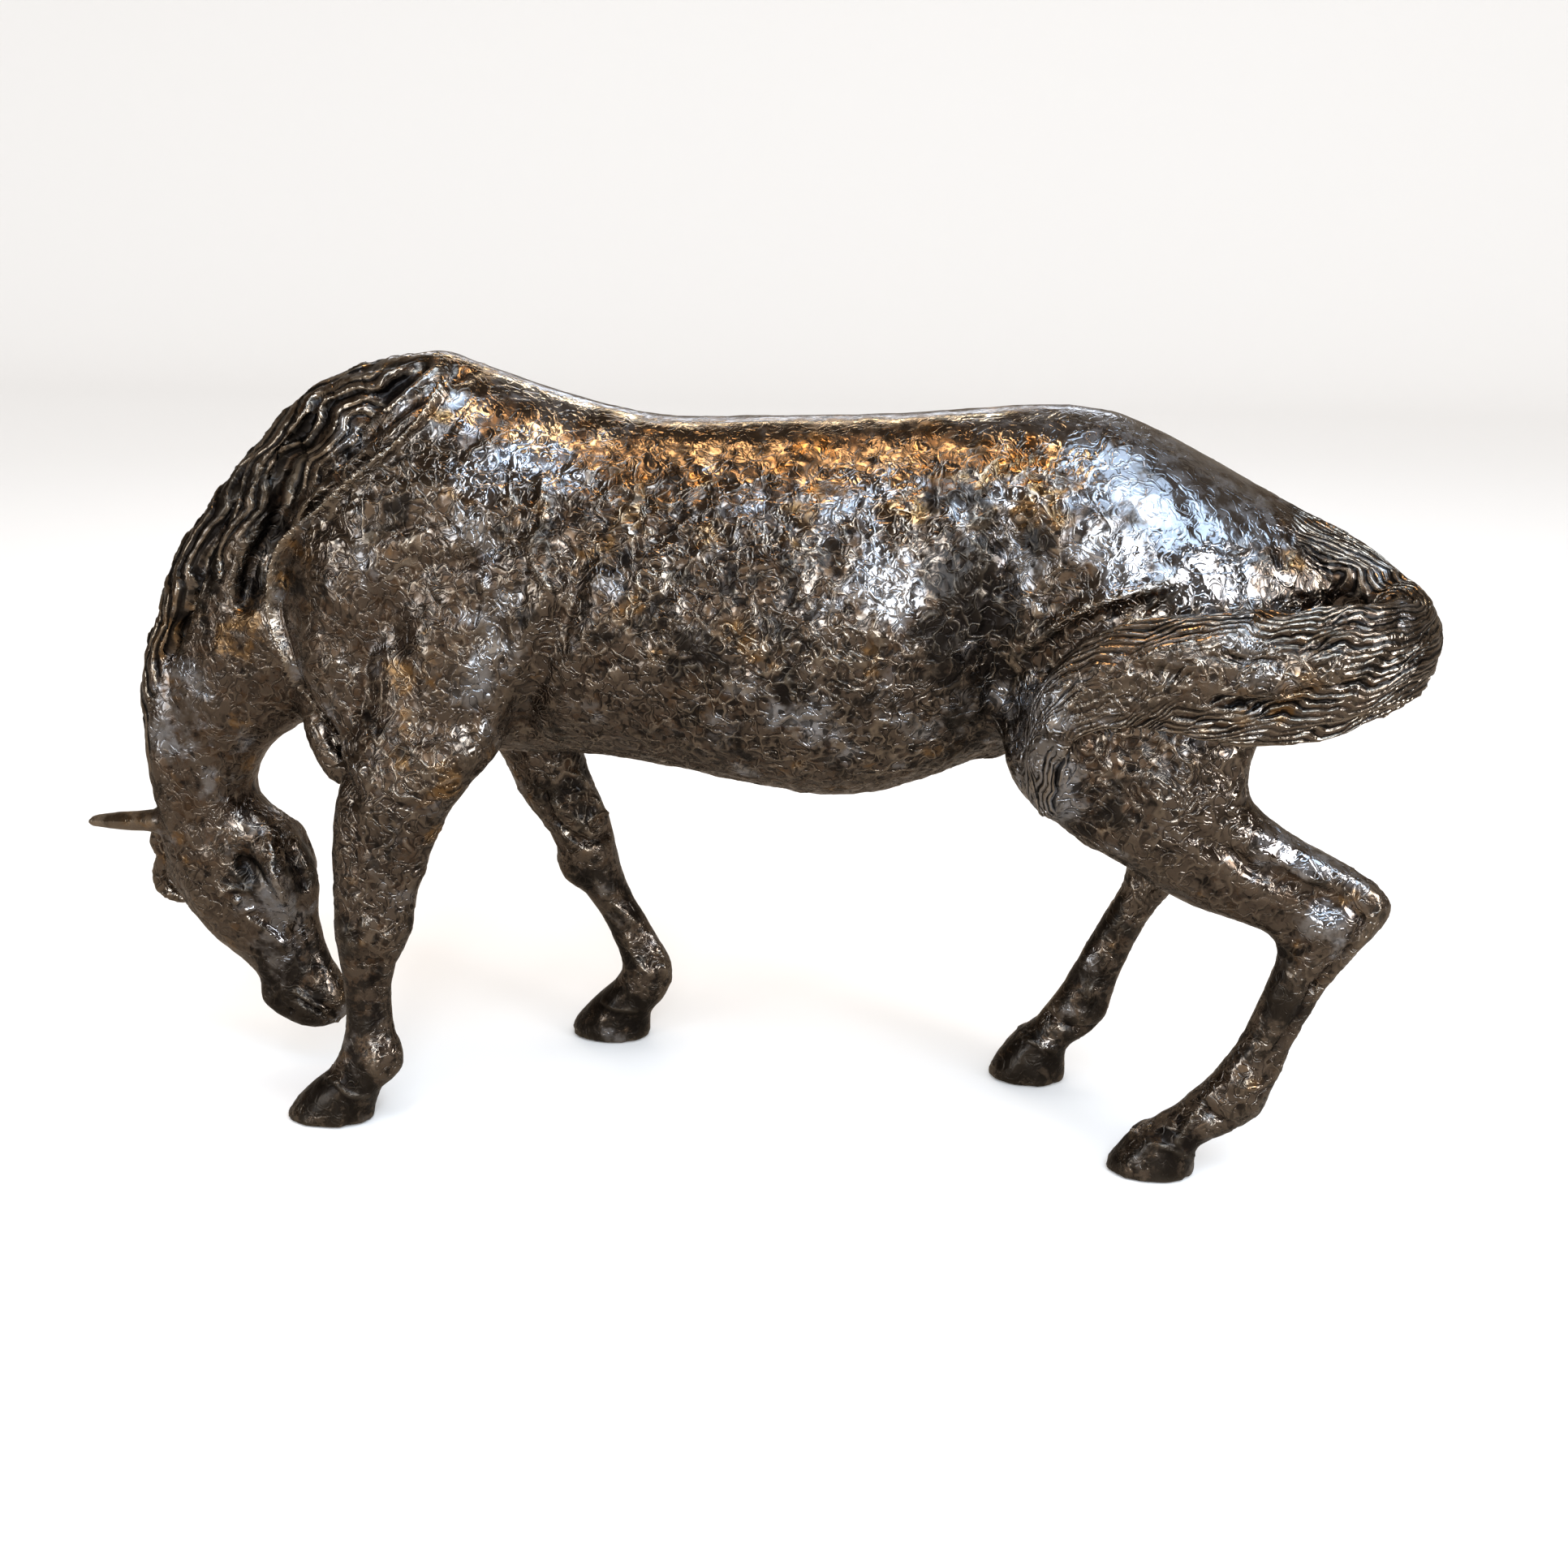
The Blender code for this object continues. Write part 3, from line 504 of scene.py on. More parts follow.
@dataclass(frozen=True)
class BronzeFinish:
    """A dark polished bronze over a piece's own hollows and ridges.

    name: the material's name.
    its colours, in the order of the fields below: metal, brown, an amber patina that also paints a warm
    reflection along the back, dark, bright, and a lighter bluish metal that paints a highlight.
    polish, dullness: roughness where it is rubbed and where it is not.
    marks: tool marks per metre.
    depth: how deep the marks look, in metres.
    grit, swell: fine grains and soft dents, each as count per metre and share of depth.
    hair: the hairs' share of depth.
    """

    name: str
    metal: tuple[float, float, float] = (0.168, 0.136, 0.112)
    brown: tuple[float, float, float] = (0.092, 0.054, 0.030)
    # amber patina colour, also used along the back as a painted warm reflection
    amber: tuple[float, float, float] = (0.290, 0.168, 0.070)
    dark: tuple[float, float, float] = (0.005, 0.0045, 0.005)
    bright: tuple[float, float, float] = (0.43, 0.36, 0.28)
    # painted highlight colour: a lighter, bluish metal
    sheen_colour: tuple[float, float, float] = (0.42, 0.43, 0.46)
    polish: float = 0.12
    dullness: float = 0.40
    marks: float = 88.0
    depth: float = 0.0006
    grit: tuple[float, float] = (420.0, 0.08)
    swell: tuple[float, float] = (130.0, 0.35)
    hair: float = 1.8

    def material(self, patina: Tree, tool: Tree, comb: Tree) -> bpy.types.Material:
        """Builds the material.

        Args:
            patina: the patina group.
            tool: the tool mark group.
            comb: the combed hair group.

        Returns:
            The finished material.
        """
        made = bpy.data.materials.new(self.name)
        made.use_nodes = True
        w = Wiring(made.node_tree)
        shader = made.node_tree.nodes["Principled BSDF"]
        place = w.node("ShaderNodeAttribute", attribute_name="first_place").outputs["Vector"]
        hollow, ridge, worked, hair, strand, smoked, amber, rubbed = (
            w.node("ShaderNodeAttribute", attribute_name=name).outputs["Fac"]
            for name in ("hollow", "ridge", "worked", "hair", "strand", "smoked", "amber", "rubbed")
        )
        mark, combed, coat = (
            w.node("ShaderNodeGroup", node_tree=tree) for tree in (tool, comb, patina)
        )
        w.feed(mark, {"Vector": place, "Marks per Metre": self.marks})
        w.feed(combed, {"Strand": strand})
        groove = w.times(combed.outputs["Groove"], hair)
        # hair edges made lighter as worn crests and as a painted highlight
        hair_edge_and_glint = w.times(combed.outputs["Edge"], hair)
        w.feed(coat, {
            "Vector": place, "Hollow": w.larger(hollow, groove), "Ridge": w.larger(ridge, hair_edge_and_glint),
            "Edge": w.times(mark.outputs["Edge"], worked), "Pit": w.times(mark.outputs["Pit"], worked),
            "Smoked": smoked, "Amber Share": amber, "Rubbed": rubbed,
            "Polish": self.polish, "Dullness": self.dullness,
        })
        for title in ("Metal", "Brown", "Amber", "Dark", "Bright", "Sheen_colour"):
            coat.inputs[title].default_value = (*getattr(self, title.lower()), 1.0)
        (grits, grit_share), (swells, swell_share) = self.grit, self.swell
        fine = w.noise(place, grits, detail=2.0)
        broad = w.noise(place, swells, detail=1.5)
        height = w.plus(w.times(mark.outputs["Height"], worked), w.times(fine, grit_share))
        height = w.plus(height, w.times(broad, swell_share))
        lift = w.times(combed.outputs["Height"], w.times(hair, self.hair))
        height = w.plus(height, lift)
        bump = w.node("ShaderNodeBump")
        w.feed(bump, {"Strength": 1.0, "Distance": self.depth, "Height": height})
        w.feed(shader, {
            "Base Color": coat.outputs["Colour"], "Roughness": coat.outputs["Roughness"],
            "Metallic": coat.outputs["Metallic"], "Normal": bump.outputs["Normal"],
            "Coat Weight": 0.12, "Coat Roughness": 0.08,
        })
        return made


def relief_tree() -> Tree:
    """Lumps, dents and tool marks that the hand leaves all over the skin.

    Returns:
        A Geometry Nodes tree that moves a mesh's vertices along their normals.
    """
    w, given, out = node_group(
        "GeometryNodeTree", "hand_relief",
        {
            "Geometry": (GEOMETRY, None), "Material": (MATERIAL, None),
            "Lump Height": (FLOAT, 0.003), "Lumps per Metre": (FLOAT, 42.0),
            "Mark Height": (FLOAT, 0.0007), "Marks per Metre": (FLOAT, 88.0), "Curl": (FLOAT, 0.010),
        },
        {"Geometry": GEOMETRY},
    )
    o = given.outputs
    place = w.node("GeometryNodeInputPosition").outputs[0]
    worked = w.node("GeometryNodeInputNamedAttribute", data_type="FLOAT")
    worked.inputs["Name"].default_value = "worked"
    lumps = w.minus(w.noise(place, o["Lumps per Metre"], detail=2.0), 0.5)
    marks = w.minus(mark_field(w, place, o["Marks per Metre"], o["Curl"])[0], 0.45)
    share = worked.outputs["Attribute"]
    broad = w.times(w.plus(w.times(share, 0.4), 0.6), o["Lump Height"])
    height = w.times(lumps, broad)
    height = w.plus(height, w.times(w.times(marks, share), o["Mark Height"]))
    normal = w.node("GeometryNodeInputNormal").outputs[0]
    moved = w.node("GeometryNodeSetPosition")
    w.feed(moved, {"Geometry": o["Geometry"], "Offset": w.scaled(normal, height)})
    real = w.node("GeometryNodeRealizeInstances")
    w.put(real.inputs[0], moved.outputs[0])
    dressed = w.node("GeometryNodeSetMaterial")
    w.feed(dressed, {"Geometry": real.outputs[0], "Material": o["Material"]})
    w.feed(out, {"Geometry": dressed.outputs[0]})
    return w.tree


@dataclass(frozen=True)
class Stroke:
    """One pull of the tool over the skin.

    path: the stroke as (x, z), seen from the side it is worked from.
    width: its half width, in hundredths.
    depth: its height, in hundredths, below zero where it is cut in.
    side: the side or sides it is worked from.
    """

    path: Path2
    width: float
    depth: float
    side: Side = Side.BOTH


def softened(values: np.ndarray, edges: np.ndarray, rounds: int) -> np.ndarray:
    """Averages values over neighbouring vertices.

    Args:
        values: one row for each vertex.
        edges: pairs of vertex numbers.
        rounds: how often they are averaged.

    Returns:
        The averaged rows.
    """
    count = len(values)
    ends = np.concatenate([edges[:, 0], edges[:, 1]])
    others = np.concatenate([edges[:, 1], edges[:, 0]])
    weight = np.maximum(np.bincount(ends, minlength=count), 1)[:, None]
    for _ in range(rounds):
        sums = [np.bincount(ends, column, minlength=count) for column in values[others].T]
        total = np.stack(sums, axis=1)
        values = 0.5 * values + 0.5 * total / weight
    return values


def set_attribute(mesh: Mesh, name: str, values: np.ndarray) -> None:
    """Writes a number or a vector for each vertex."""
    kind, slot = ("FLOAT_VECTOR", "vector") if values.ndim > 1 else ("FLOAT", "value")
    made = mesh.attributes.get(name) or mesh.attributes.new(name, kind, "POINT")
    made.data.foreach_set(slot, values.astype(np.float32).ravel())


def move_vertices(mesh: Mesh, places: np.ndarray) -> None:
    """Puts the vertices at new places, in metres."""
    mesh.vertices.foreach_set("co", places.astype(np.float32).ravel())
    mesh.update()


def hollows(mesh: Mesh, reach: float) -> np.ndarray:
    """How far each vertex lies in a hollow (above 0) or on a ridge (below 0).

    Args:
        mesh: the mesh to read.
        reach: the depth, in metres, that counts as a full hollow.

    Returns:
        One number for each vertex.
    """
    edges = np.empty(len(mesh.edges) * 2, np.int32)
    mesh.edges.foreach_get("vertices", edges)
    edges = edges.reshape(-1, 2)
    places, normals = vertex_rows(mesh, "co"), vertex_rows(mesh, "normal")
    near = ((softened(places, edges, 12) - places) * normals).sum(1)
    far = ((softened(places, edges, 70) - places) * normals).sum(1)
    return softened((0.5 * near / reach + 0.5 * far / (3 * reach))[:, None], edges, 1)[:, 0]


def carve(made: Object, skin: Skin, strokes: Sequence[Stroke]) -> None:
    """Works strokes into a mesh.

    Args:
        made: the object to work on.
        skin: the surface that the strokes are laid on.
        strokes: the strokes, each pushed along the mesh's normals.
    """
    mesh, figure = made.data, skin.figure
    places, normals = vertex_rows(mesh, "co"), vertex_rows(mesh, "normal")
    push = np.zeros(len(places))
    for stroke in strokes:
        for side in stroke.side.value:
            path = spline(stroke.path, 10) if len(stroke.path) > 1 else stroke.path
            marks = [skin.beside(x, z, side) for x, z in path]
            marks = np.array([m for m in marks if m is not None])
            if not len(marks):
                continue
            width = stroke.width * figure.unit
            low, high = marks.min(0) - 3 * width, marks.max(0) + 3 * width
            near = np.flatnonzero(((places > low) & (places < high)).all(1))
            gap = np.full(len(near), np.inf)
            for mark in marks:
                np.minimum(gap, ((places[near] - mark) ** 2).sum(1), out=gap)
            push[near] += stroke.depth * figure.unit * np.exp(-gap / width**2)
    move_vertices(mesh, places + normals * push[:, None])


def boxed(mesh: Mesh) -> None:
    """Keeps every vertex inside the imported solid's box."""
    move_vertices(mesh, np.clip(vertex_rows(mesh, "co"), np.array(CAD_LOW), np.array(CAD_HIGH)))


@dataclass(frozen=True)
class Spot:
    """A part of the skin that is finished in a way of its own.

    x, z: its middle, seen from the side, in hundredths.
    across, up: its half width and half height, in hundredths.
    share: how far it is finished so, from 0 to 1.
    """

    x: float
    z: float
    across: float
    up: float
    share: float


class Finish(Enum):
    """What sets a spot apart from the skin round it."""

    CALM = "calm"
    # painted shade
    SMOKED = "smoked"
    # amber patina, and along the back a painted warm reflection
    AMBER = "amber"
    # painted highlight
    RUBBED = "rubbed"


HOOVES = ((-49, 3), (-19, 5), (41, 4), (60, 2))

SPOTS = {finish: tuple(Spot(*row) for row in rows) for finish, rows in {
    Finish.CALM: (
        (10, 97, 52, 8, 0.9), (56, 85, 14, 10, 0.78), (-20, 91, 9, 5.5, 0.6),
        (-72, 52, 4.0, 8.4, 0.8), (22, 78, 5.3, 9.5, 0.45), (75, 44, 8.4, 3.2, 0.5),
        (-84, 36, 7.4, 2.5, 0.9), (70, 25, 5.3, 9.5, 0.5), (-65, 10, 4.7, 4.2, 0.5),
        (46, 18, 8, 14, 0.65), (-48, 17, 7, 14, 0.6), (-17, 20, 7, 14, 0.6),
        (-64, 22, 8, 14, 0.65), (68, 38, 14, 12, 0.5), (-64, 56, 9, 14, 0.35), (-34, 66, 16, 18, 0.3),
        (8, 88, 42, 5, 0.5), (-68, 44, 10, 12, 0.6), (-54, 68, 4, 16, 0.7),
        *((x, z, 8, 5, 0.8) for x, z in HOOVES),
    ),
    # painted shade: dark blotches where shade falls on the hooves, lower legs, eye hollow, muzzle, under
    # the mane, on the belly and behind the flank
    Finish.SMOKED: (
        (34, 69, 6.3, 15.8, 1.0), (37, 58, 6.3, 6.3, 0.8), (-64, 29, 3.6, 3.8, 1.0),
        (-64, 9, 7.0, 5.0, 1.5), (-59, 29, 1.8, 2.5, 0.9), (-62, 17, 4.6, 4.0, 1.0),
        (70, 25, 5.3, 8.4, 0.6), (49, 20, 5, 11, 0.6), (-24, 40, 6, 10, 0.5),
        (-47, 17, 5.3, 12, 0.5), (-58, 77, 3.0, 9, 0.9), (4, 70, 18, 13, 0.35),
        (46, 48, 6.3, 6.3, 0.5), (14, 62, 12, 4, 0.4), (-17, 20, 6, 12, 0.5),
        *((x, z, 8.5, 4.8, 1.0) for x, z in HOOVES),
        (-60, 82, 6, 12, 0.55), (-68, 72, 5, 9, 0.5),
    ),
    # amber patina on the neck, shoulder and head, and along the back and croup a painted warm reflection
    # where the warm ceiling light glints
    Finish.AMBER: (
        (-62, 64, 4.0, 4.0, 1.0), (-33, 93, 2.9, 3.8, 1.0), (-26, 84, 2.7, 2.5, 0.7),
        (-22, 90, 3.4, 2.7, 0.6), (-50, 71, 3.6, 3.2, 0.7), (13, 87, 15.8, 4.6, 0.6),
        (37, 86, 5.8, 6.3, 0.9), (-3, 82, 11.6, 5.3, 0.4), (54, 71, 6.3, 2.3, 0.7),
        (72, 66, 5.8, 3.2, 0.6), (-74, 62, 2.3, 9.0, 0.5), (-84, 36, 6.3, 1.9, 1.0),
        (-73, 29, 3.2, 6.5, 0.9), (-32, 49, 6.3, 10.5, 0.5), (22, 94, 17, 2.5, 0.4),
    ),
    # painted highlight: lighter bluish metal where the cool lamps' reflections fall on the rump,
    # shoulder top, flank, tail and hind legs
    Finish.RUBBED: (
        (54, 87, 14.5, 10.5, 1.2), (41, 55, 3.6, 9, 1.5), (66, 73, 9, 2.5, 0.6),
        (-20, 90, 9.5, 6.3, 0.8), (-45, 94, 3.8, 4.8, 0.6), (22, 78, 5.5, 9.5, 0.8),
        (75, 44, 8.4, 3.2, 0.9), (76, 36, 3.8, 3.4, 0.8), (-61, 24, 2.3, 6.3, 0.6),
        (-62, 36, 3.2, 2.3, 0.5), (-72, 52, 3.6, 8.4, 0.7), (-25, 64, 4.2, 7.4, 0.5),
        (56, 60, 4.2, 2.1, 0.5), (14, 58, 15.8, 3.2, 0.4),
    ),
}.items()}


def spread(places: np.ndarray, finish: Finish) -> np.ndarray:
    """Share of a finish at each place, in hundredths, from 0 to 1."""
    share = np.zeros(len(places))
    for spot in SPOTS[finish]:
        across, up = (places[:, 0] - spot.x) / spot.across, (places[:, 2] - spot.z) / spot.up
        share = np.maximum(share, spot.share * np.exp(-0.6 * (across**2 + up**2) ** 1.5))
    return share


# hairs before their own bulks repeat, and the step in number from left to right side
HAIRS = 997
FAR_SIDE_HAIRS = 40.37


@dataclass
class Marks:
    """What is written for each vertex of the skin.

    hair: how much of the place is hair, from 0 to 1.
    strand: a number that rises by one from hair to hair.
    height: how far the hair lifts the skin, in hundredths.
    """

    hair: np.ndarray
    strand: np.ndarray
    height: np.ndarray

    @classmethod
    def none(cls, count: int) -> Marks:
        """No hair at all on that many vertices."""
        return cls(*(np.zeros(count) for _ in range(3)))

    def over(self, other: Marks) -> Marks:
        """These marks where they are the stronger, else the other ones."""
        own = self.hair >= other.hair
        return Marks(*(
            np.where(own, getattr(self, name), getattr(other, name))
            for name in ("hair", "strand", "height")
        ))


def smooth(values: np.ndarray, low: float, high: float) -> np.ndarray:
    """Smooth step from 0 at low to 1 at high; low may be the larger."""
    t = np.clip((values - low) / (high - low), 0, 1)
    return t * t * (3 - 2 * t)


def nearest_of(spots: np.ndarray, stations: np.ndarray) -> np.ndarray:
    """Number of the nearest station for each spot; the first where two are as near."""
    gaps = np.full(len(spots), np.inf)
    nearest = np.zeros(len(spots), int)
    for i, station in enumerate(stations):
        gap = ((spots - station) ** 2).sum(1)
        nearest = np.where(gap < gaps, i, nearest)
        gaps = np.minimum(gap, gaps)
    return nearest


def lengths(path: np.ndarray) -> np.ndarray:
    """Length run along a path up to each of its points."""
    return np.concatenate([[0], np.cumsum(np.linalg.norm(np.diff(path, axis=0), axis=1))])


def wave(run: np.ndarray, length: float, shift: np.ndarray) -> np.ndarray:
    """Wave of that length along a run, shifted by so many radians."""
    return np.sin(2 * np.pi * run / length + shift)


def waved(
    run: np.ndarray, strand: np.ndarray, *waves: tuple[float, float, float]
) -> np.ndarray:
    """How far waves push each strand aside, in strands."""
    return sum(size * wave(run, length, shift * strand) for size, length, shift in waves)


def combed(
    strand: np.ndarray, along: np.ndarray, bead: float, lock: float, seed: int
) -> np.ndarray:
    """Height of hairs side by side, each with its own bulk and beads.

    Args:
        strand: a number that rises by one from hair to hair.
        along: how far along the hair the place is, in hundredths.
        bead: length of a bead, in hundredths.
        lock: how far the locks of a few hairs stand apart.
        seed: picks the hairs' own bulk.

    Returns:
        Heights from -1 - lock in the deepest grooves to about 0.3 on the fullest hairs.
    """
    random = np.random.default_rng(seed)
    spans = ((0.45, 1.3), (0.0, 6.28), (0.7, 1.5))
    bulk, shift, length = (random.uniform(*span, HAIRS) for span in spans)
    number = np.floor(strand).astype(int) % HAIRS
    turn = strand - np.floor(strand)
    ridge = np.sin(np.pi * turn) ** 0.7
    beads = 0.84 + 0.16 * wave(along, bead * length[number], shift[number])
    locks = strand / 4.6 + 0.35 * np.sin(0.61 * strand + 0.21 * along)
    whole = np.abs(np.sin(np.pi * locks)) ** 0.5
    return ridge * beads * bulk[number] - 1 + lock * (whole - 1)


# along the tail: x, y, z of its middle, its half width across and its half thickness
TAIL_RUN = (
    (65.0, 0.0, 81.2, 4.0, 3.2), (71.0, -0.4, 79.2, 5.6, 3.6), (77.0, -2.0, 75.6, 6.2, 4.0),
    (81.6, -5.0, 71.4, 6.4, 4.0), (82.7, -10.0, 69.6, 5.9, 3.8), (79.0, -15.0, 69.0, 6.6, 3.4),
    (71.4, -18.2, 67.5, 8.5, 3.0), (64.0, -19.4, 67.1, 8.6, 2.8), (56.0, -19.6, 67.4, 6.8, 2.7),
    (50.0, -19.4, 66.2, 5.8, 2.6), (45.2, -19.0, 63.4, 4.6, 2.5), (42.6, -18.4, 59.0, 3.0, 2.3),
    (41.9, -17.8, 53.2, 2.4, 2.0), (42.5, -17.4, 48.0, 1.3, 1.2),
)


@dataclass(frozen=True)
class TailHair:
    """Wavy hairs that sweep back, round the buttock and along the thigh.

    spacing: from hair to hair at the tail's widest, in hundredths.
    depth: how deep the grooves between hairs are, in hundredths.
    drift: how many hairs slide off the lower edge along the thigh.
    middle: the point that the tail swings round, in hundredths.
    waves, ripple: height in hairs, length in hundredths and shift from hair to hair.
    """

    spacing: float = 0.86
    depth: float = 0.33
    drift: float = 9.0
    middle: tuple[float, float, float] = (58.0, 0.0, 68.0)
    waves: Sequence[tuple[float, float, float]] = ((0.85, 15.0, 0.24), (0.35, 6.3, 0.7))
    ripple: tuple[float, float, float] = (0.12, 2.3, 1.9)

    def lay(self, places: np.ndarray) -> Marks:
        """Hair over the tail's length.

        Args:
            places: the vertices, in hundredths.

        Returns:
            The marks that the hair leaves on them.
        """
        rows = spline(TAIL_RUN, 8)
        centres = rows[:, :3]
        along = unit_rows(np.gradient(centres, axis=0))
        outward = centres - np.array(self.middle)
        outward = unit_rows(outward - (outward * along).sum(1)[:, None] * along)
        across = np.cross(along, outward)
        length = lengths(centres)
        marks = Marks.none(len(places))
        x, y, z = places.T
        near = np.flatnonzero((x > 36) & (z > 43) & (z < 90) & (y < 12))
        spots = places[near]
        nearest = nearest_of(spots, centres)
        offset = spots - centres[nearest]
        half, thick = rows[nearest, 3], rows[nearest, 4]
        run = length[nearest] + (offset * along[nearest]).sum(1)
        side = (offset * across[nearest]).sum(1) / half
        out = (offset * outward[nearest]).sum(1) / thick
        edge = 1.36 - 0.16 * smooth(run, 66, 74)
        hair = smooth(np.hypot(side, out), edge, 1.08) * smooth(out, -0.75, -0.35)
        hair *= smooth(run, 1.0, 7.0)
        arc = np.sign(side) * (np.abs(side) * half + (1 - np.clip(out, -1, 1)) * thick * 0.6)
        strand = arc / (self.spacing * (0.75 + 0.25 * half / 8.5))
        lower = 0.25 + 0.75 * smooth(side, 0.5, -0.2)
        strand += self.drift * lower * smooth(run / length[-1], 0.56, 0.80)
        strand += waved(run, strand, *self.waves)
        strand += waved(run, strand, self.ripple)
        marks.hair[near], marks.strand[near] = hair, strand
        marks.height[near] = self.depth * combed(strand, run, 5.0, 1.0, 5) * hair
        return marks


# along the crest: x, z of the crest, then x, z of the mane's lower edge
NECK_RUN = (
    (-34.5, 98.6, -33.2, 97.0), (-39.0, 99.2, -36.6, 94.6), (-45.2, 99.0, -41.5, 90.4),
    (-51.9, 96.1, -46.5, 86.4), (-58.1, 91.2, -52.0, 82.4), (-63.6, 85.7, -57.4, 78.4),
    (-69.3, 79.1, -62.4, 74.4), (-74.4, 71.2, -67.6, 68.8), (-77.8, 63.4, -72.6, 61.6),
    (-79.9, 55.2, -76.0, 55.0), (-80.2, 47.5, -77.6, 48.0), (-79.7, 41.2, -77.8, 41.4),
)


@dataclass(frozen=True)
class ManeHair:
    """Long beaded locks that fall from the crest, nearly along it.

    spacing: from lock to lock, in hundredths.
    depth: how deep the grooves between locks are, in hundredths.
    fall: how far a lock falls from the crest for each length along it.
    waves: height in locks, length in hundredths and shift from lock to lock.
    """

    spacing: float = 1.75
    depth: float = 0.46
    fall: float = 0.17
    waves: Sequence[tuple[float, float, float]] = ((0.42, 13.0, 0.9), (0.10, 5.3, 2.1))

    def lay(self, places: np.ndarray) -> Marks:
        """Locks over both sides of the neck.

        Args:
            places: the vertices, in hundredths.

        Returns:
            The marks that the locks leave on them.
        """
        rows = spline(NECK_RUN, 12)
        crest = rows[:, :2]
        widths = np.linalg.norm(rows[:, 2:] - crest, axis=1)
        inward = unit_rows(rows[:, 2:] - crest)
        length = lengths(crest)
        marks = Marks.none(len(places))
        near = np.flatnonzero((places[:, 0] < -31) & (places[:, 2] > 38))
        spots = places[near][:, [0, 2]]
        nearest = nearest_of(spots, crest)
        run = length[nearest]
        down = ((spots - crest[nearest]) * inward[nearest]).sum(1)
        width = widths[nearest]
        ragged = 0.9 + 0.08 * np.sin(run / 1.7) + 0.06 * np.sin(run / 0.6)
        hair = smooth(down / width, ragged + 0.12, ragged - 0.06) * smooth(run, 0.5, 4.0)
        hair *= smooth(np.abs(places[near][:, 1]), 14.0, 12.0)
        strand = (down - self.fall * run) / self.spacing
        strand += waved(run, strand, *self.waves)
        strand += np.where(places[near][:, 1] > 0, FAR_SIDE_HAIRS, 0.0)
        marks.hair[near], marks.strand[near] = hair, strand
        depth = self.depth * np.clip(width / 6.0, 0.35, 1.0)
        marks.height[near] = depth * combed(strand, run, 2.2, 1.5, 9) * hair
        return marks


@dataclass
class Carcass:
    """The horse's skin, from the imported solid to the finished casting.

    figure: places on the horse.
    finish: its material.
    most: triangles that the finished piece may have.
    roundings: rounds of softening that melt the solid's facets.
    lumps, marks: how far lumps and tool marks stand out, in metres.
    hollow: depth of a full hollow, in metres.
    """

    figure: Figure
    finish: bpy.types.Material
    most: int = 198_500
    roundings: int = 16
    lumps: float = 0.0030
    marks: float = 0.0006
    hollow: float = 0.0011

    def blank(self) -> Object:
        """A smooth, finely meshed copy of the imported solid.

        Returns:
            The new object.
        """
        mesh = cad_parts[NODE].data.copy()
        bm = bmesh.new()
        bm.from_mesh(mesh)
        bmesh.ops.remove_doubles(bm, verts=bm.verts, dist=1e-5)
        bm.to_mesh(mesh)
        bm.free()
        mesh.materials.clear()
        made = bpy.data.objects.new("bronze_horse", mesh)
        bpy.context.scene.collection.objects.link(made)
        rounded = made.modifiers.new("round", "SUBSURF")
        rounded.levels = rounded.render_levels = 1
        return fused(made, Grain.SKIN, self.roundings)

    def build(self, relief: Tree) -> Object:
        """Builds the finished skin.

        Args:
            relief: the tree that lays the hand's relief over it.

        Returns:
            The finished piece.
        """
        made = self.blank()
        skin = Skin(made, self.figure)
        carve(made, skin, BODY_STROKES)
        mesh = made.data
        first = vertex_rows(mesh, "co")
        places = (first - np.array(self.figure.origin)) / self.figure.unit
        marks = TailHair().lay(places).over(ManeHair().lay(places))
        worked = (1 - spread(places, Finish.CALM)) * (1 - 0.9 * marks.hair)
        set_attribute(mesh, "worked", worked)
        lift = (marks.height * self.figure.unit)[:, None]
        move_vertices(mesh, first + vertex_rows(mesh, "normal") * lift)
        heights = {"Lump Height": self.lumps, "Mark Height": self.marks}
        run_tree(made, relief, {**heights, "Material": self.finish})
        carve(made, skin, MANE_GROOVES)
        depth = hollows(made.data, self.hollow)
        # painted shade; amber patina with a painted warm reflection along the back; painted highlight
        spots = (Finish.SMOKED, Finish.AMBER, Finish.RUBBED)
        for name, values in (
            ("first_place", first), ("worked", worked),
            ("hair", marks.hair), ("strand", marks.strand),
            ("hollow", np.clip(depth, 0, 1)), ("ridge", np.clip(-depth, 0, 1)),
            *((finish.value, spread(places, finish)) for finish in spots),
        ):
            set_attribute(made.data, name, values)
        thinned(made, self.most)
        boxed(made.data)
        made.data.shade_smooth()
        return made


MANE_GROOVES = (
    Stroke([(-50.2, 94.5), (-51.8, 90.6), (-54.7, 87.7), (-56.7, 84.4)], 0.8, -1.4),
    Stroke([(-61.2, 86.3), (-63.3, 80.8), (-66.2, 75.6), (-68.3, 71.3), (-70.5, 65.8),
            (-74.1, 59.8)], 0.8, -1.8),
    Stroke([(-53.1, 86.9), (-55.3, 81.9), (-57.4, 76.9), (-60.1, 72.7), (-61.5, 68.5)], 1.1, -1.7),
)

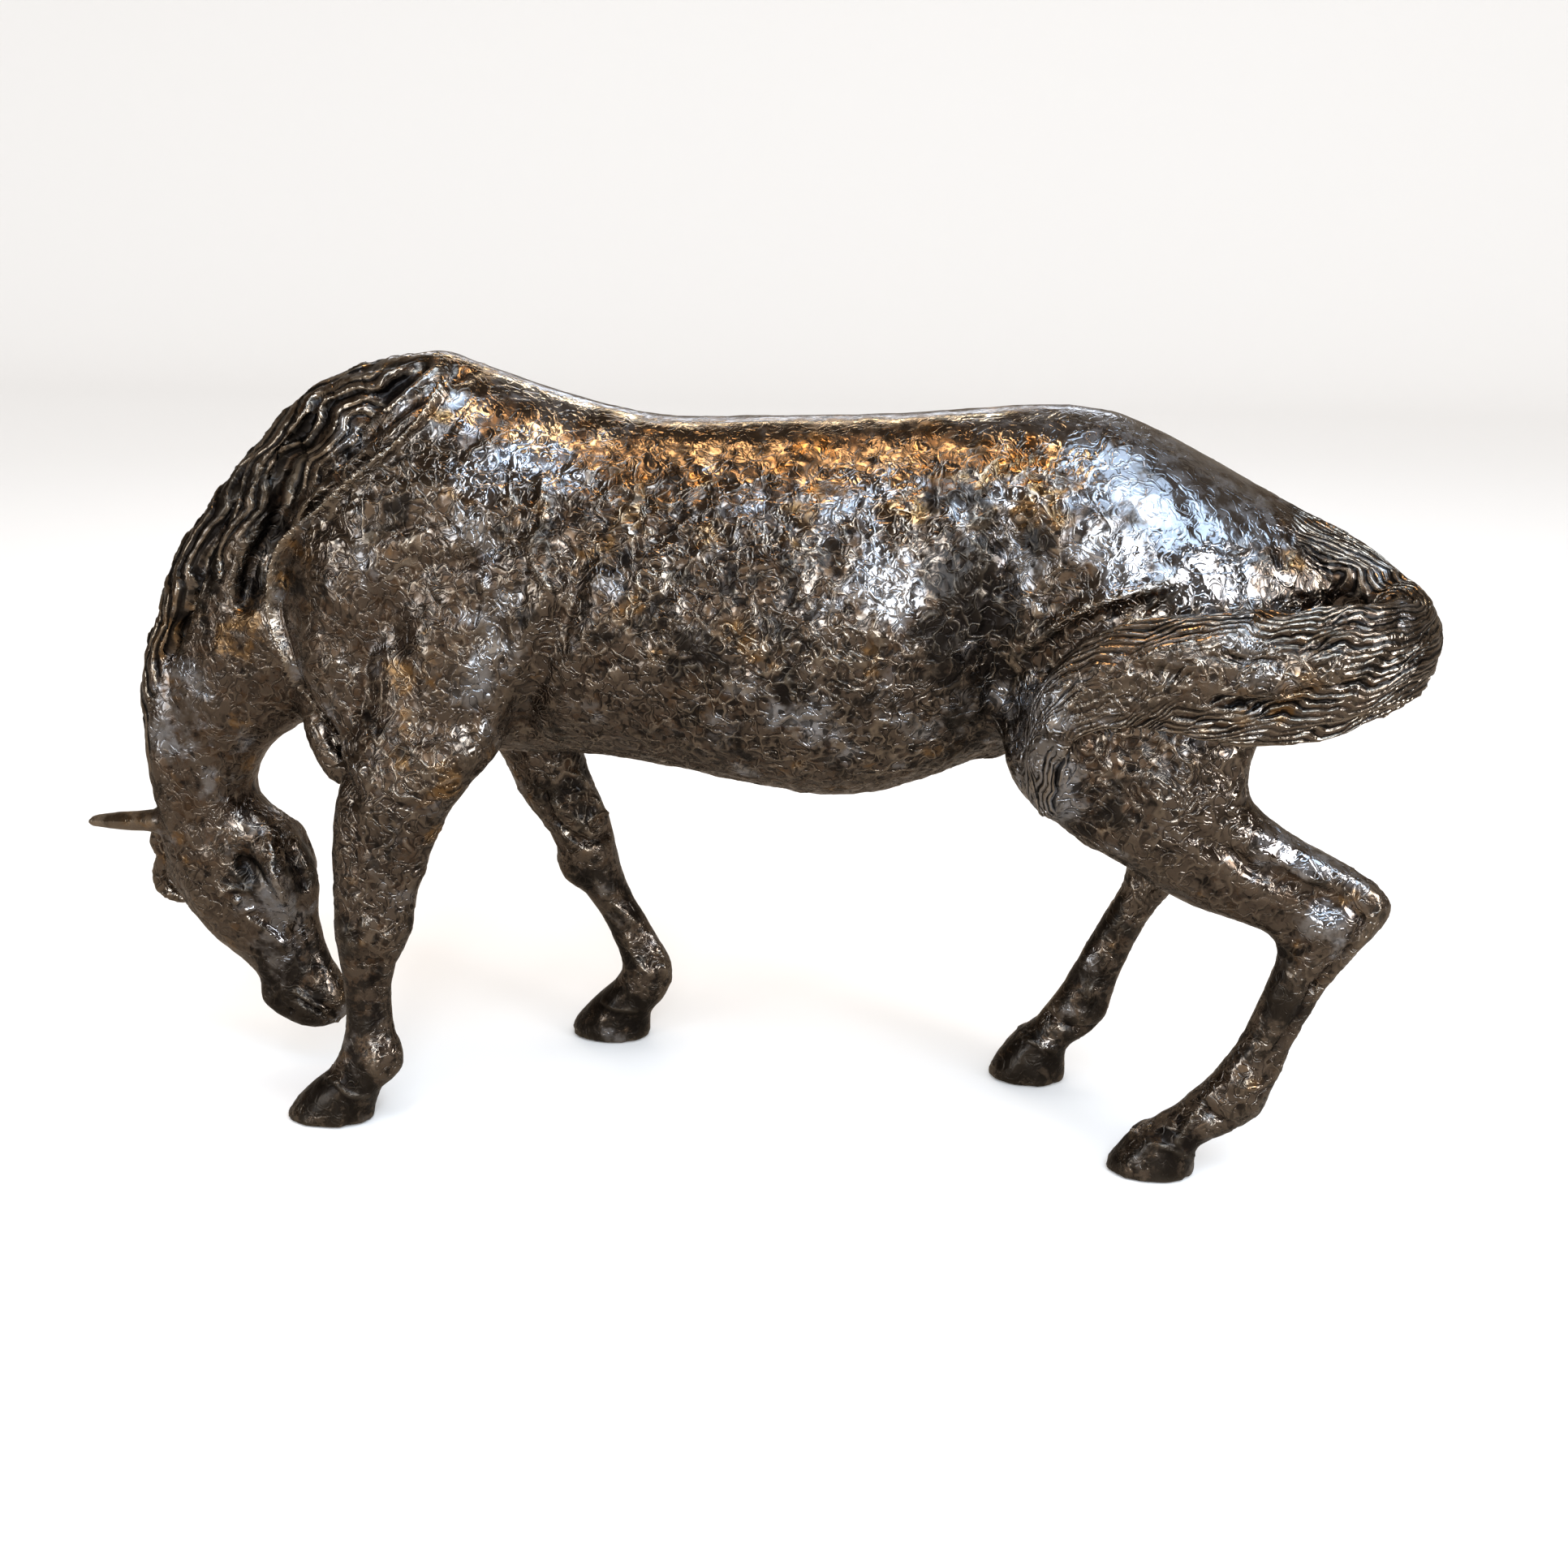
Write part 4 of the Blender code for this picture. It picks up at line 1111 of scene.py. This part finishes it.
BODY_STROKES = tuple(Stroke(*row) for row in (
    # furrows between the neck and the shoulder, and the shoulder's own front edge
    ([(-37.1, 98.4), (-41.8, 93.8), (-44.6, 90.0), (-46.4, 85.6), (-52.7, 79.5)], 1.0, -1.0),
    ([(-33.1, 96.4), (-35.5, 92.8), (-38.2, 89.8)], 0.7, -0.8),
    ([(-34.9, 98.0), (-39.0, 93.9), (-40.6, 90.8)], 0.5, 0.4),
    ([(-47.4, 93.6)], 2.4, 0.5),
    ([(-32.4, 96.0), (-35.7, 91.7), (-39.9, 87.6), (-45.3, 83.2), (-50.5, 79.6), (-54.0, 75.4),
      (-55.3, 71.2), (-55.3, 66.7), (-53.1, 61.4), (-51.0, 55.2), (-46.6, 48.8)], 0.5, 1.9),
    ([(-41.6, 87.9), (-46.8, 83.4), (-52.2, 79.4), (-56.0, 75.2), (-57.3, 71.2), (-57.2, 66.3),
      (-55.0, 60.8)], 0.9, -1.2),
    ([(-53.1, 86.9), (-55.3, 81.9), (-57.4, 76.9), (-60.1, 72.7), (-61.5, 68.5)], 1.6, -0.5),
    # shoulder blade and elbow
    ([(-19.3, 86.1), (-18.7, 81.7), (-20.0, 78.9), (-19.4, 76.1), (-17.6, 73.8)], 0.45, 0.45),
    ([(-26.2, 74.3), (-25.8, 71.8), (-26.9, 68.7)], 0.4, 0.35),
    ([(-39.1, 78.6), (-36.1, 80.1), (-32.9, 80.3), (-30.0, 76.4), (-25.9, 77.5)], 0.6, -0.35),
    ([(-45.0, 50.8), (-41.4, 48.6), (-37.0, 47.0)], 0.6, 0.3),
    # flank and thigh
    ([(33.8, 82.0), (36.5, 78.6), (37.0, 75.0)], 0.9, -0.5),
    ([(40, 69), (44, 72.4), (49, 75), (55, 77)], 0.7, 0.4),
    # dark lobe in the tail, along the thigh
    ([(60.5, 68.4), (66, 68.8), (73, 67.6)], 2.2, 0.5, Side.NEAR),
    ([(61, 65.2), (67, 64.6), (74, 65.0)], 0.6, -0.7, Side.NEAR),
    # ear
    ([(-89.4, 35.0), (-87.6, 35.2), (-85.6, 35.5), (-82, 35.7), (-79, 35.9)], 1.6, 0.55, Side.NEAR),
    # gaskin, hock and hind cannon
    ([(63.9, 45.4), (66.1, 43.5), (68.5, 42.0)], 0.6, -0.5),
    ([(67.5, 47.0), (72.8, 44.4), (77.4, 42.0), (81.3, 39.9)], 0.7, 0.4),
    ([(68.8, 43.3), (73.7, 40.7), (77.6, 39.4), (79.8, 36.9)], 0.6, -0.55),
    ([(81.9, 39.4), (81.9, 37.7), (81.0, 35.0), (79.2, 32.2)], 0.45, 0.3),
    ([(80.1, 37.3), (79.4, 33.9), (77.9, 31.4)], 0.4, -0.5),
    ([(75.5, 35.4)], 1.6, 0.5),
    ([(77.4, 30.5), (75.3, 27.1), (73.3, 22.2), (70.8, 17.5)], 0.5, -0.4),
    ([(75.5, 27.4)], 0.7, -0.5),
    ([(68.2, 14.1)], 1.4, 0.4),
    ([(63.9, 10.1), (66.8, 8.6)], 0.6, -0.6),
    ([(62.5, 9.8), (61.5, 7.8), (60.6, 5.9)], 0.5, 0.4),
    ([(54.8, 5.1), (57.0, 5.4), (59.9, 4.8), (62.6, 3.2)], 0.35, 0.3),
    ([(48.8, 14.5)], 1.2, 0.4),
    ([(39.0, 6.9), (41.2, 6.6), (44.4, 5.5)], 0.35, 0.3),
    ([(43.2, 10.5), (46.3, 9.2), (49.8, 8.8)], 0.5, -0.5),
    # knees and fetlocks of the forelegs
    ([(-43.4, 29.1)], 0.8, 0.5), ([(-40.8, 27.6)], 0.8, 0.5), ([(-45.4, 26.4)], 0.8, 0.4),
    ([(-45.8, 23.8), (-43.1, 23.4), (-41.0, 23.7)], 0.9, -0.3),
    ([(-43.7, 9.4), (-43.4, 8.0)], 1.0, 0.4),
    ([(-51.0, 6.6), (-49.1, 6.3), (-46.8, 4.8), (-44.9, 4.5)], 0.35, 0.3),
    ([(-27.4, 38.5), (-26.3, 34.3), (-22.2, 31.6), (-19.3, 31.7)], 0.7, -0.9, Side.NEAR),
    ([(-26.4, 37.5), (-23.2, 34.9), (-21.1, 32.3)], 0.5, 0.5, Side.NEAR),
    ([(-22.9, 40.9), (-21.0, 37.0), (-19.4, 33.7)], 0.5, 0.5, Side.NEAR),
    ([(-21.0, 25.3), (-19.0, 21.9), (-16.1, 19.2)], 0.5, 0.35, Side.NEAR),
    ([(-16.9, 16.8), (-15.7, 13.2), (-13.7, 11.4)], 0.4, 0.4, Side.NEAR),
    ([(-14.0, 16.9), (-12.4, 14.0), (-11.6, 10.7)], 0.4, 0.4, Side.NEAR),
    ([(-21.0, 6.2), (-19.0, 5.5), (-15.9, 5.4)], 0.35, 0.3, Side.NEAR),
    # hollow behind the eye, the eye, its brow and its lower lid
    ([(-65.7, 31.6), (-63.6, 29.6), (-62.2, 27.6)], 1.0, -0.8),
    ([(-66.8, 26.2)], 0.55, 0.75),
    ([(-69.0, 27.0), (-67.6, 28.0), (-65.4, 27.6)], 0.4, 0.45),
    ([(-68.4, 24.9), (-66.6, 24.3), (-64.9, 24.8)], 0.35, 0.35),
    ([(-68.6, 26.0), (-67.9, 25.4)], 0.3, -0.5),
    # jaw, cheek, mouth, lips and nostril
    ([(-61.5, 32.0), (-60.2, 28.3), (-60.4, 23.8), (-60.9, 21.0), (-60.7, 18.4)], 0.5, 0.45),
    ([(-60.0, 32.0), (-58.9, 30.0), (-58.3, 27.4)], 0.6, -0.7),
    ([(-65.8, 23.4), (-62.9, 20.9), (-61.4, 18.1)], 0.45, 0.4),
    ([(-61.4, 9.0)], 0.5, -0.8),
    ([(-64.4, 10.8)], 1.1, 0.4),
    ([(-60.5, 12.3), (-58.2, 10.5), (-56.8, 9.2), (-55.6, 7.0)], 0.3, 0.35),
    ([(-60.3, 11.4), (-58.0, 9.6), (-56.6, 8.2)], 0.3, -0.55),
    ([(-55.6, 10.8)], 0.7, 0.3),
))


@dataclass(frozen=True)
class SoftLight:
    """A square studio light.

    name: the light's name.
    place: where it stands, in metres.
    target: what it points at, in metres.
    width, height: its size, in metres.
    power: in watts.
    colour: its colour.
    """

    name: str
    place: tuple[float, float, float]
    target: tuple[float, float, float]
    width: float
    height: float
    power: float
    colour: tuple[float, float, float]

    def build(self) -> None:
        """Adds the light to the scene."""
        data = bpy.data.lights.new(self.name, "AREA")
        data.shape = "RECTANGLE"
        data.size, data.size_y = self.width, self.height
        data.energy = self.power
        data.color = self.colour
        made = bpy.data.objects.new(self.name, data)
        bpy.context.scene.collection.objects.link(made)
        place = Vector(self.place)
        made.location = place
        made.rotation_euler = (Vector(self.target) - place).to_track_quat("-Z", "Y").to_euler()


@dataclass
class Studio:
    """Pale floor, soft lights and the camera at the photograph's angle.

    camera_place: in metres.
    pitch, yaw: the camera's turn down and to its left, in degrees.
    lens: in millimetres on a 36 mm sensor.
    """

    camera_place: tuple[float, float, float] = (0.2130, -0.9987, 0.5210)
    pitch: float = 18.0
    yaw: float = 9.704
    lens: float = 45.0
    lights: tuple[SoftLight, ...] = tuple(SoftLight(*row) for row in (
        ("warm_ceiling", (-0.20, -0.14, 1.85), (0.0, -0.03, 0.37), 1.0, 0.16, 5.5, (1.0, 0.62, 0.30)),
        ("cool_left", (-0.13, -0.95, 1.65), (-0.1, -0.04, 0.37), 0.32, 0.30, 2.6, (0.66, 0.80, 1.0)),
        ("cool_right", (0.70, -0.84, 1.54), (0.24, -0.05, 0.35), 0.35, 0.25, 3.0, (0.80, 0.90, 1.0)),
        ("cool_sheen", (0.86, -0.84, 1.62), (0.24, -0.05, 0.35), 1.40, 0.90, 13.5, (0.60, 0.78, 1.0)),
        ("cool_crown", (0.72, -0.28, 1.85), (0.24, -0.05, 0.38), 0.9, 0.7, 4.2, (0.60, 0.78, 1.0)),
        ("tall_window", (0.32, -2.1, 0.95), (0.1, -0.06, 0.3), 0.42, 1.5, 19.0, (0.84, 0.92, 1.0)),
        ("left_window", (-1.25, -1.45, 0.75), (0.0, 0.0, 0.25), 0.35, 0.7, 3.5, (0.80, 0.90, 1.0)),
        ("low_left", (-1.00, -1.10, 0.22), (0.18, -0.07, 0.23), 0.4, 0.4, 1.0, (0.84, 0.92, 1.0)),
        ("back_glint", (-0.25, 1.13, 1.30), (0.0, 0.0, 0.38), 0.5, 0.05, 1.8, (1.0, 0.82, 0.55)),
        ("far_window", (-0.30, 1.90, 1.20), (0.0, 0.05, 0.28), 1.5, 0.35, 4.5, (0.80, 0.88, 1.0)),
        ("right_side", (1.28, -0.62, 0.60), (0.33, -0.05, 0.17), 0.4, 0.5, 9.0, (0.92, 0.95, 1.0)),
        ("dim_front", (-0.9, -2.0, 0.5), (-0.1, 0.0, 0.25), 1.8, 1.0, 3.8, (1.0, 0.84, 0.66)),
    ))

    def floor(self) -> None:
        """Lays the pale floor, swept up to a wall; the metal sees it dimmer."""
        reach, back, bend, top = 9.0, 3.2, 1.4, 6.0
        turn = np.linspace(0, math.pi / 2, 13)
        curve = ((back + bend * math.sin(a), bend - bend * math.cos(a)) for a in turn)
        sweep = [(-reach, 0.0), *curve, (back + bend, top)]
        points = [(x, y, z) for y, z in sweep for x in (-reach, reach)]
        faces = [(2 * i, 2 * i + 1, 2 * i + 3, 2 * i + 2) for i in range(len(sweep) - 1)]
        mesh = bpy.data.meshes.new("pale_floor")
        mesh.from_pydata(points, [], faces)
        mesh.shade_smooth()
        made = bpy.data.objects.new("pale_floor", mesh)
        bpy.context.scene.collection.objects.link(made)
        paint = bpy.data.materials.new("pale_floor")
        paint.use_nodes = True
        shader = paint.node_tree.nodes["Principled BSDF"]
        shader.inputs["Roughness"].default_value = 0.9
        w = Wiring(paint.node_tree)
        mirrored = w.node("ShaderNodeLightPath").outputs["Is Glossy Ray"]
        w.put(shader.inputs["Base Color"], w.mix(mirrored, (0.84, 0.82, 0.80, 1), (0.21, 0.17, 0.13, 1)))
        mesh.materials.append(paint)

    def surroundings(self) -> None:
        """Sets a pale surrounding that the metal sees much dimmer."""
        world = bpy.data.worlds.new("studio")
        bpy.context.scene.world = world
        world.use_nodes = True
        w = Wiring(world.node_tree)
        background = world.node_tree.nodes["Background"]
        mirrored = w.node("ShaderNodeLightPath").outputs["Is Glossy Ray"]
        w.put(background.inputs["Color"], w.mix(mirrored, (1.1, 1.1, 1.1, 1), (0.125, 0.096, 0.072, 1)))

    def camera(self) -> None:
        """Puts the camera where the photograph was taken."""
        data = bpy.data.cameras.new("camera")
        data.lens, data.sensor_width = self.lens, 36.0
        made = bpy.data.objects.new("camera", data)
        bpy.context.scene.collection.objects.link(made)
        made.location = self.camera_place
        made.rotation_euler = (math.radians(90 - self.pitch), 0, math.radians(self.yaw))
        bpy.context.scene.camera = made

    def build(self) -> None:
        """Builds all of it."""
        self.floor()
        self.surroundings()
        for light in self.lights:
            light.build()
        self.camera()
        view = bpy.context.scene.view_settings
        view.view_transform = "Standard"
        view.look = "None"


def report(piece: Object) -> None:
    """Logs a finished piece's triangles and size in millimetres."""
    piece.data.calc_loop_triangles()
    places = vertex_rows(piece.data, "co")
    size = (places.max(0) - places.min(0)) * 1000
    count = len(piece.data.loop_triangles)
    log.info("%s: %d triangles, %.1f x %.1f x %.1f mm", piece.name, count, *size)


def main() -> None:
    """Builds the horse and its studio, and reports each piece."""
    logging.basicConfig(level=logging.INFO, format="%(message)s")
    figure = Figure()
    groups = (patina_group(), tool_mark_group(), combed_group())
    bronze = BronzeFinish("polished_bronze").material(*groups)
    horse = Carcass(figure, bronze).build(relief_tree())
    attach(horse, BODY)
    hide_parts(NODE)
    report(horse)
    Studio().build()


if __name__ == "__main__":
    main()
